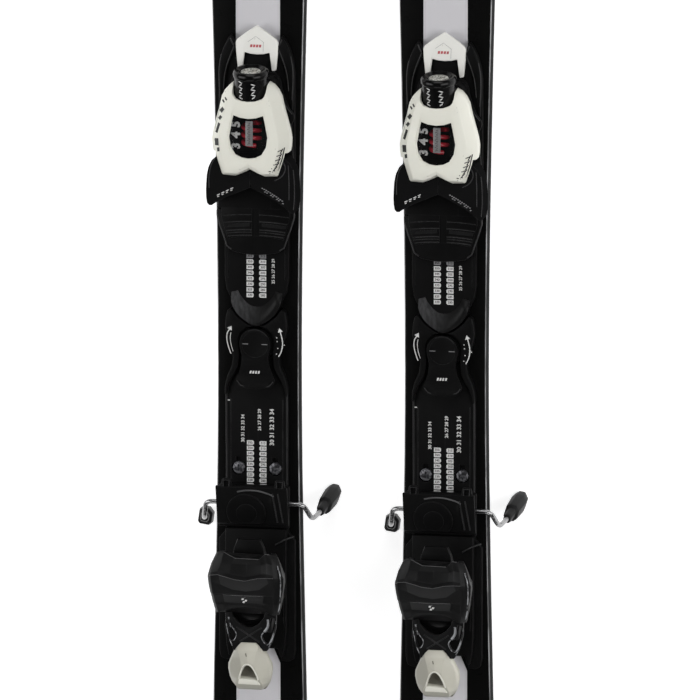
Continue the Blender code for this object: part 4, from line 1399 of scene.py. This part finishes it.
def brake_foot(top, tip, spread):
    """A plastic sleeve on the wire's end and the broad blade below it."""
    a, b = Vector(top), Vector(tip)
    ahead = Vector(spread)
    across = Vector((0, 0, 1)).cross(ahead).normalized()
    sections = []
    shape = ((0, 3.6, 3.2), (0.06, 4.2, 3.6), (0.26, 4.4, 3.8), (0.28, 7.2, 6.0), (0.66, 8.0, 6.8),
             (0.84, 7.6, 6.0), (1, 4.4, 2.4))
    for t, width, depth in shape:
        centre = a.lerp(b, t)
        sections.append([
            centre + ahead * width + across * depth * 0.5, centre + ahead * width * 0.6 + across * depth,
            centre - ahead * width * 0.7 + across * depth, centre - ahead * width + across * depth * 0.7,
            centre - ahead * width - across * depth * 0.6, centre - ahead * width * 0.6 - across * depth,
            centre + ahead * width * 0.5 - across * depth, centre + ahead * width - across * depth * 0.4,
        ])
    return soften(loft("brake_foot", sections), 0.3, 2, 35)


def brake_pedal():
    """Pedal plate with a round boss, a curved ridge, two front tabs and ribs on the right."""
    hinge, front = (-167.5, 12.4), (-133.6, 22.8)
    profile = [hinge, (-169.5, 14), (-168.5, 16.4), (-134.6, 24.4), front, (-134.4, 20.6)]
    plate = baked(soften(prism("brake_pedal", profile, -33.2, 29.9, across=True), 0.7, 3))
    tilt = math.atan2(24.4 - 16.4, -134.6 + 168.5)
    normal = Vector((0, -math.sin(tilt), math.cos(tilt)))

    def on_plate(x, y, lift):
        return Vector((x, y, 16.4 + (y + 168.5) * math.tan(tilt))) + normal * lift

    boss = turned("boss", [(-3, 0), (-3, 17.4), (0.5, 17.3), (1.0, 16.8), (1.2, 15.6), (0.7, 13.6),
                           (0.5, 0)], on_plate(-7.0, -157.5, 0), normal, 72)
    button = turned("button", [(-1, 0), (-1, 9.2), (0.9, 9.0), (1.2, 8.0), (1.3, 0)],
                    on_plate(-6.6, -158.5, 0), normal, 48)

    def trim(start, end):
        return box("trim", (-60, start, 0), (60, end, 60))

    boss = cut(boss, trim(-230, -167.8), trim(-134.4, -100))
    button = cut(button, trim(-230, -167.8))
    ridge = smooth([(-14, -138.8), (-6, -137.2), (4.2, -137.4), (13.8, -139.9),
                    (18, -142.0)], closed=False)
    ridge = tube("ridge", [on_plate(x, y, 0.1) for x, y in ridge], 0.75, 10)
    tabs, pits, clips = [], [], []
    for low in (-28.2, 18.8):
        tab = prism("tab", [(low - 0.6, -137), (low + 9.8, -137), (low + 8.6, -128.4),
                            (low + 6.8, -127.4), (low + 2.2, -127.4),
                            (low + 0.6, -128.4)], 20.8, 23.8)
        tabs.append(baked(soften(tab, 0.5, 2)))
        pits.append(box("pit", (low + 2.2, -134.6, 22), (low + 7.0, -128.8, 26)))
        clip = [(low + dx, y, 23.7) for dx, y in
                ((2.0, -134.4), (1.8, -128.9), (7.2, -128.9), (7.0, -134.4))]
        clips.append(tube("clip", clip, 0.4, 8))
    ribs = [tube("rib", [on_plate(x, -139.5, 0.1), on_plate(x + 3.4, -166, 0.1)], 0.7, 8)
            for x in (17.0, 21.8)]
    plate = cut(add(plate, boss, button, *tabs), *pits)
    # the ridge, ribs and clips are paler black: painted highlights, brightest on the ridge
    pieces = inked(BLACK, plate) + inked(RIDGE_HIGHLIGHT, *ribs, *clips) + inked(RIDGE_BRIGHT_HIGHLIGHT, ridge)
    return merged("brake_pedal", pieces)


def build_brake():
    black = "black_plastic"
    dress("brake_block", brake_base(), BLACK, "heel_carriage", black, "brake_base")
    dress("brake_arm_wire", brake_wire(), WIRE, "brake_arms", "bright_steel", "brake_wire", sharp=60)
    left = brake_foot((-51.4, -171.0, -18.9), (-57.6, -177.0, FLOOR), (0.15, 1, 0))
    right = brake_foot((49.6, -163.4, -25.0), (57.0, -150.5, FLOOR + 1), (0.3, 0.95, 0))
    dress("brake_blade_left", left, CUP_PALE, "brake_arms", black, "brake_foot_left")
    dress("brake_blade_right", right, CUP_PALE, "brake_arms", black, "brake_foot_right")
    dress("brake_pedal_plate", brake_pedal(), None, "pedal", black, "brake_pedal")


# The heel

def heel_base():
    low, high = span("heel_base")
    outline = mirrored([(27, high.y), (27, -262), (26, -276), (24, low.y), (21.6, low.y),
                        (19.4, -278.4), (0, -278)])
    plate = soften(prism("heel_base", outline, low.z, high.z), 1.0)
    # a paler tube along the slide's edge: painted highlight
    edge = tube("edge", [(17.6, -186.4, 13.6), (25.4, -182, 13.2), (33.4, -179.4, 8.4)], 0.6, 10)
    steps = [tube("step", [(x, -214, z), (x, -256, z)], 0.4, 8) for x, z in ((24.4, 12.3),
                           (26.6, 11.8))]
    return merged("heel_base", inked(BLACK, plate) + inked(RIDGE_HIGHLIGHT, edge) + inked(BLACK, *steps))


def heel_housing():
    profile = [
        (-206, 12.3), (-206, 21), (-209, 27), (-214, 32), (-220, 36), (-226, 38.5), (-233, 39.9),
        (-240, 40), (-248, 38.6), (-254, 36), (-259, 31.5), (-262, 26), (-263, 12.3),
    ]
    return soften(prism("heel_housing", profile, -16.5, 16.5, across=True), 1.8)


def heel_cup():
    """Shell over the boot's heel: a sunken front face, a raised rim, a scoop and a rear recess."""
    # from front to rear: the foot's height, then points across the top from left to right
    rows = [
        (42, [(-26.5, -187, 53), (-24, -185.8, 56), (-19.1, -185.2, 58), (-9.1, -190.4, 57),
              (1, -190.9, 56.6), (11.8, -190.8, 57), (17.2, -185.6, 58), (21.4, -186.2, 57),
              (27.4, -188, 53)]),
        (38, [(-31, -196.6, 54), (-28, -195, 57.4), (-20.8, -194, 58.6), (-13, -196, 55.0),
              (1, -196.4, 54.6), (14.6, -196, 55.0), (18.6, -194, 58.4), (24, -195, 58.4),
              (30.4, -196.6, 54)]),
        (33, [(-33.6, -206, 55), (-30, -203.4, 59.6), (-24, -202, 59.4), (-14, -204.8, 56.4),
              (1, -207, 56.0), (13.2, -204.4, 56.4), (18.6, -203.2, 59), (24.6, -204, 60),
              (32.4, -205.4, 55)]),
        (32, [(-33.8, -208, 55), (-30.2, -205.6, 60.4), (-23, -204.8, 61), (-10, -208.6, 60.8),
              (0.6, -209.6, 60.8), (11, -207, 60.8), (19.4, -206.4, 61), (25, -206.4, 60.6),
              (33.4, -207.4, 55)]),
        (28, [(-33.2, -215, 54), (-30.2, -211, 59.2), (-22, -214.4, 56.8), (-12, -218.6, 55.8),
              (0, -220, 55.6), (12, -218, 55.8), (20.6, -211.6, 58.4), (25.4, -210.6, 60),
              (33.0, -215, 54)]),
        (24, [(-32.2, -222.2, 52), (-29, -222.2, 57), (-21.4, -222.4, 56), (-12, -222.8, 55.4),
              (0, -223, 55.2), (11, -222.8, 55.4), (18.6, -222.6, 56), (24.8, -222.2, 57.6),
              (31.6, -222.2, 52)]),
        (23, [(-31.6, -223.8, 51.6), (-28.4, -223.8, 56.4), (-20.6, -224.0, 53.4),
              (-12, -224.2, 52.8), (0, -224.4, 52.6), (9, -224.2, 52.8), (15.6, -224.0, 53.4),
              (24.6, -223.8, 57), (31, -223.8, 51.6)]),
        (20, [(-30.4, -231, 49.6), (-27.2, -231, 53.6), (-19.6, -231.2, 50.6),
              (-11, -231.4, 50.2), (0, -231.6, 50), (8, -231.4, 50.2), (14, -231.2, 50.6),
              (24.2, -231, 54.6), (30.2, -231, 49.6)]),
        (20, [(-30, -232.8, 48.6), (-26.8, -232.8, 52.8), (-19.2, -232.4, 51),
              (-11, -232.8, 50.8), (0, -233, 50.8), (8, -232.8, 50.8), (14, -232.4, 51),
              (24, -232.8, 53.8), (29.6, -232.8, 48.6)]),
        (20, [(-28.6, -241, 45), (-25.6, -240.6, 49.6), (-20.6, -238.6, 49.6),
              (-12, -235.2, 50.2), (0, -234.6, 50.2), (8, -235.2, 50.2), (15.6, -238.6, 49.6),
              (22.8, -241.6, 50.6), (27.6, -241.6, 45)]),
    ]
    sections = []
    for foot, over in rows:
        left, right = over[0], over[-1]
        roof = min(z for x, y, z in over) - 3
        under = [
            (right[0] - 3.4, right[1], foot), (right[0] - 3.4 - 4, right[1], foot),
            (right[0] - 6.5, right[1], roof), (left[0] + 6.5, left[1], roof),
            (left[0] + 3.4 + 4, left[1], foot),
        ]
        sections.append([(left[0] + 3.4, left[1], foot)] + over + under)
    shell = loft("heel_cup", sections)
    for material in (CUP_BLACK, CUP_PALE):
        shell.data.materials.append(material)
    # the paler faces, painted highlights: the scoop behind the rim, the floor of the rear recess and
    # panels in front
    across = len(sections[0])
    pale = [(3, k) for k in range(3, 7)] + [(6, k) for k in range(3, 7)] + [(0, 2), (1, 2), (1, 7)]
    for row, column in pale:
        shell.data.polygons[row * across + column].material_index = 1
    shell = baked(soften(shell, 0.45, 2, 10))
    front = prism("front", mirrored([(0, 51), (14, 51), (20, 49), (23, 45), (20, 37),
                                     (10, 36)]), 0, 4)
    front.matrix_world = Matrix(((1, 0, 0, 0), (0, 0, -1, -192 * MM), (0, 1, 0, 0), (0, 0, 0, 1)))
    tongue = loft("tongue", [
        [(-10.6, -176.6, 38.6), (10.6, -176.6, 38.6), (9.8, -177.2, 42.2), (-9.8, -177.2, 42.2)],
        [(-13.4, -184, 36.4), (13.4, -184, 36.4), (12.8, -184, 42.4), (-12.8, -184, 42.4)],
        [(-16.0, -198, 33.6), (16.0, -198, 33.6), (15.2, -198, 42.4), (-15.2, -198, 42.4)],
    ])
    parts = [soften(part, 0.5, 2) for part in (front, tongue)]
    return merged("heel_cup", [shell] + inked(BLACK, *parts))


def cup_wear_and_highlights():
    """Lines along the cup's edges, a bared edge and paler rims, painted highlights with wear, and the
    small printed mark in its recess.
    """
    edge = [(28.2, -196, 56.4), (31.0, -204, 58.4), (31.4, -209, 58.8), (31.2, -216, 57.6),
            (30.4, -223, 55.4), (29.4, -232, 52.6), (27.4, -239, 49.6)]
    wear_and_highlight = [tube("edge", rounded_path(edge, 2.5, 4), 0.5, 8)]
    rims = [
        [(-18.8, -185.4, 58.1), (-9.1, -190.5, 57.2), (11.6, -190.9, 57.2)],
        [(17.2, -185.8, 58.1), (21.4, -186.4, 57.1)],
        [(-32.4, -207.2, 57.6), (-30.2, -205.7, 60.4), (-24, -204.9, 60.9), (-16, -206.9, 60.9),
         (-9, -208.8, 60.9), (0.6, -209.7, 60.9), (11, -207.1, 60.9), (19, -206.5, 60.9),
         (25, -206.6, 60.6)],
        [(-20.4, -223.9, 53.9), (0, -223.9, 55.2), (15, -223.9, 53.9)],
        [(19.0, -187, 57.6), (19.4, -203, 58.8)],
    ]
    # the rims are paler black: painted highlights along the cup's edges
    lines = [tube("rim", [Vector(p) - Vector((0, 0, 0.1)) for p in rim], 0.24, 8) for rim in rims]
    marks = [bar((x - 1.2, -226.8 + dy), (1.9, 1.5), 51.9, lean=0.2)
             for x, dy in ((-2.8, 2.3), (-0.6, 1.3), (-2.2, -0.7), (0.6, -2.0), (-1.2, -3.2))]
    return merged("cup_wear_and_highlights", inked(BARED, *wear_and_highlight) + inked(RIDGE_BRIGHT_HIGHLIGHT, *lines) + inked(WHITE_INK, *marks))


def heel_lever():
    """Frame of the opening lever: an hourglass web between two legs, with two windows."""
    outline = [
        (-20.0, -241.5), (-19.6, -252), (-17.8, -262.9), (-13.6, -275), (16.0, -275), (20.6, -267),
        (24.4, -253.7), (25.0, -241.5), (20.8, -240), (15.0, -240), (13.8, -244.6),
        (9.0, -250.6), (3.4, -254), (-1.6, -254), (-8.2, -250.6), (-13.4, -244.6), (-14.6, -240),
    ]
    web = loft("heel_lever", [
        [(x, y, 37.5 + (y + 274) * 0.12) for x, y in outline],
        [(x, y, 42.0 + (y + 274) * 0.12) for x, y in outline],
    ])
    windows = [
        [(-18.2, -249.4), (-16.0, -251.8), (-10.8, -260.0), (-12.6, -265.2), (-15.2, -266.4),
         (-17.0, -261)],
        [(19.8, -244.6), (18.6, -251.6), (11.4, -261.4), (13.6, -266.8), (17.0, -268.4),
         (20.6, -262), (23.2, -252.4), (23.6, -245)],
    ]
    web = cut(web, *[prism("window", window, 30, 60) for window in windows])
    cross = [tube("cross", [(0.7 + s * 11.0, -254, 44.4), (0.7 - s * 8.4, -266.8, 42.9)], 0.6, 8)
             for s in (-1, 1)]
    y, z = CUP_PIVOT.y, CUP_PIVOT.z
    leg_profile = [
        (y + 7, z), (y + 5, z + 5), (y - 3, z + 6.5), (-250.5, 44.6), (-258, 43.4), (-250, z),
        (y - 5, z - 6), (y + 2, z - 7),
    ]
    legs = [soften(prism("leg", leg_profile, low, low + 3.6, across=True), 0.5, 2)
            for low in (-20.5, 16.9)]
    return merged("heel_lever", [soften(web, 0.5, 2)] + cross + legs)


def lever_wear():
    """Struts and rims of the lever's frame, where the coating has rubbed off."""
    def height(y):
        return 42.1 + (y + 274) * 0.12

    lines = [
        ([(-17.4, -245), (-17.0, -248.6), (-16.4, -251.6), (-14.6, -253.8)], 1.1),
        ([(-14.6, -253.8), (-10.7, -260), (-12.6, -265.4), (-15.2, -266.6)], 0.35),
        ([(-19.4, -251), (-17.4, -263), (-14.6, -271)], 0.35),
        ([(17.4, -246), (17.6, -249.4), (16.8, -253.4), (14.0, -257.4)], 1.2),
        ([(14.0, -257.4), (11.2, -261.4), (13.5, -267), (17.2, -268.8), (20.8, -262.4),
          (23.4, -252.8)], 0.4),
        ([(24.4, -247), (23.8, -254.6), (20.4, -265), (17.6, -271)], 0.45),
    ]
    pieces = []
    for line, width in lines:
        curve = smooth(line, closed=False, steps=4)
        pieces.append(tube("strut", [(x, y, height(y) - width * 0.5) for x, y in curve], width, 10))
    return merged("lever_wear", inked(BARED, *pieces))


def heel_grip():
    """White end of the opening lever: a front facet, two creases and a thumb recess with a ledge."""
    def section(y, half, edge, low, high, crown):
        return [
            (half, y, low + 3), (half, y, high - 9), (half * 0.9, y, high - 6), (edge, y, high),
            (0, y, high + crown), (-edge, y, high), (-half * 0.9, y, high - 6),
            (-half, y, high - 9), (-half, y, low + 3), (-half * 0.7, y, low), (half * 0.7, y, low),
        ]

    grip = loft("heel_grip", [
        section(-267.6, 7.6, 6.4, 32, 44.4, 0), section(-270.8, 10.8, 9.2, 32, 46.6, 0),
        section(-273.4, 12.8, 8.8, 31, 48.2, 0.2), section(-281, 16.2, 6.8, 30, 48.0, 1.0),
        section(-287, 18.8, 6.0, 28, 47.2, 1.6), section(-292, 19.2, 6.6, 27.4, 46.2, 1.6),
        section(-299, 18.2, 9.6, 26.6, 44.2, 0.8), section(-304.4, 16.6, 11.6, 26, 42.0, 0.2),
        section(-308.6, 14.2, 11.4, 26.4, 39.2, 0), section(-310.6, 12.2, 9.6, 28, 35.6, 0),
    ])
    thumb = [(-8.4, -299.4), (-6.9, -294.4), (-4.4, -289.8), (-1.6, -286.8), (1.8, -287.2),
             (4.8, -290.6), (7.2, -295.6), (8.8, -301), (7.6, -302.4), (-7.4, -301.4)]
    tilt = Matrix.Translation(Vector((0, -302, 41)) * MM) @ Matrix.Rotation(
        math.radians(-10), 4, "X") @ Matrix.Translation(Vector((0, 302, -41)) * MM)
    recess = stack("recess", [(38.6, thumb), (56, thumb)])
    pit = stack("pit", [(38.0, scaled(thumb, 0.97, -295)), (38.9, scaled(thumb, 0.97, -295))])
    recess.matrix_world = tilt
    pit.matrix_world = tilt
    grip = cut(baked(soften(grip, 0.5, 2, 14)), recess)
    # the lip round the recess and the ledge behind it are a paler white: painted highlights
    arch = smooth([(-8.2, -299.6), (-6.4, -293.6), (-3.6, -287.6), (0, -285.8), (3.4, -287.6),
                   (6.4, -292.8), (8.8, -300.2)], closed=False)
    lip = tube("lip", [(x, y, 48.15 + (y + 287) * 0.31) for x, y in arch], 0.8, 12)
    ledge = stack("ledge", [
        (36, [(-9.4, -297.6), (8.6, -299), (11.2, -306.6), (-10.4, -306.2)]),
        (44.0, [(-8.4, -299.4), (8.0, -300.8), (10.2, -304.8), (-9.4, -304.4)]),
    ])
    ledge = soften(ledge, 0.8)
    nick = bar((-1.2, -277.4), (1.0, 3.0), 49.0, angle=12)
    return merged("heel_grip", inked(GRIP_WHITE, soften(grip, 0.4, 2, 35)) + inked(GRIP_LIT, lip, ledge)
                  + inked(GRIP_SHADE, baked(pit), nick))


def build_heel():
    black = "black_plastic"
    dress("heel_slide", heel_base(), None, "heel_carriage", black, "heel_base")
    dress("heel_tower_shell", heel_housing(), GLOSS_BLACK, "heel_tower", black, "heel_housing")
    dress("heel_cup_shell", heel_cup(), None, "cup", black, "heel_cup", sharp=24)
    dress("heel_cup_wear_and_highlights", cup_wear_and_highlights(), None, "cup", black)
    dress("heel_lever_frame", heel_lever(), LEVER_BLACK, "opening_lever", black, "heel_lever")
    dress("heel_lever_wear", lever_wear(), None, "opening_lever", black, sharp=60)
    dress("heel_lever_grip", heel_grip(), None, "opening_lever", "white_plastic", "heel_grip", sharp=24)


# The stage

VIEW_FROM = Vector((0.198, 0.20, 1.0)).normalized()
VIEW_AT = Vector((-0.0044, -0.0146, 0.062))
VIEW_DISTANCE = 20.0
VIEW_WIDTH = 0.6055                      # what the picture spans at the skis


def camera():
    data = bpy.data.cameras.new("camera")
    data.sensor_width = 36.0
    data.lens = data.sensor_width * VIEW_DISTANCE / VIEW_WIDTH
    data.clip_end = 60.0
    made = bpy.data.objects.new("camera", data)
    bpy.context.scene.collection.objects.link(made)
    right = Vector((0, 1, 0)).cross(VIEW_FROM).normalized()
    up = VIEW_FROM.cross(right)
    turn = Matrix((right, up, VIEW_FROM)).transposed().to_4x4()
    made.matrix_world = Matrix.Translation(VIEW_AT + VIEW_FROM * VIEW_DISTANCE) @ turn
    bpy.context.scene.camera = made


def softbox(name, place, aim, size, power):
    data = bpy.data.lights.new(name, "AREA")
    data.shape = "RECTANGLE"
    data.size, data.size_y = size
    data.energy = power
    lamp = bpy.data.objects.new(name, data)
    bpy.context.scene.collection.objects.link(lamp)
    lamp.location = place
    lamp.rotation_euler = (Vector(place) - Vector(aim)).to_track_quat("Z", "Y").to_euler()
    lamp.visible_camera = False


def floor():
    bm = bmesh.new()
    bmesh.ops.create_grid(bm, x_segments=1, y_segments=1, size=40.0)
    made = object_from("floor", bm)
    finish = Finish("floor_paper", (0.88, 0.88, 0.88), 0.9, specular=0.0)
    finish.set("Emission Color", (1.0, 1.0, 1.0, 1.0))
    finish.set("Emission Strength", 0.72)
    finish.bump(finish.noise(120, 3), 0.1, 0.1)
    made.data.materials.append(finish.material)


def world():
    """Dim overhead and brighter towards the horizon, so that flat black faces stay black."""
    made = bpy.data.worlds.new("studio")
    bpy.context.scene.world = made
    made.use_nodes = True
    nodes, links = made.node_tree.nodes, made.node_tree.links
    place = nodes.new("ShaderNodeTexCoord")
    split = nodes.new("ShaderNodeSeparateXYZ")
    ramp = nodes.new("ShaderNodeMapRange")
    for socket, number in (("From Min", 0.15), ("From Max", 0.75), ("To Min", 0.8),
                           ("To Max", 0.05)):
        ramp.inputs[socket].default_value = number
    links.new(place.outputs["Generated"], split.inputs["Vector"])
    links.new(split.outputs["Z"], ramp.inputs["Value"])
    links.new(ramp.outputs["Result"], nodes["Background"].inputs["Strength"])


def build_stage():
    camera()
    floor()
    world()
    softbox("right_box", (2.3, 0.2, 2.0), (0, 0, 0.05), (1.6, 2.4), 47)
    softbox("left_box", (-2.3, 0.1, 2.0), (0, 0, 0.05), (1.6, 2.4), 43)
    softbox("tip_box", (0.2, 2.6, 2.3), (0, 0, 0.05), (2.6, 1.4), 35)
    softbox("tail_box", (0.0, -2.8, 2.0), (0, 0, 0.05), (2.4, 1.2), 19)
    bpy.context.scene.view_settings.view_transform = "Standard"


build_stage()
build_ski()
build_plate()
build_toe()
build_brake()
build_heel()
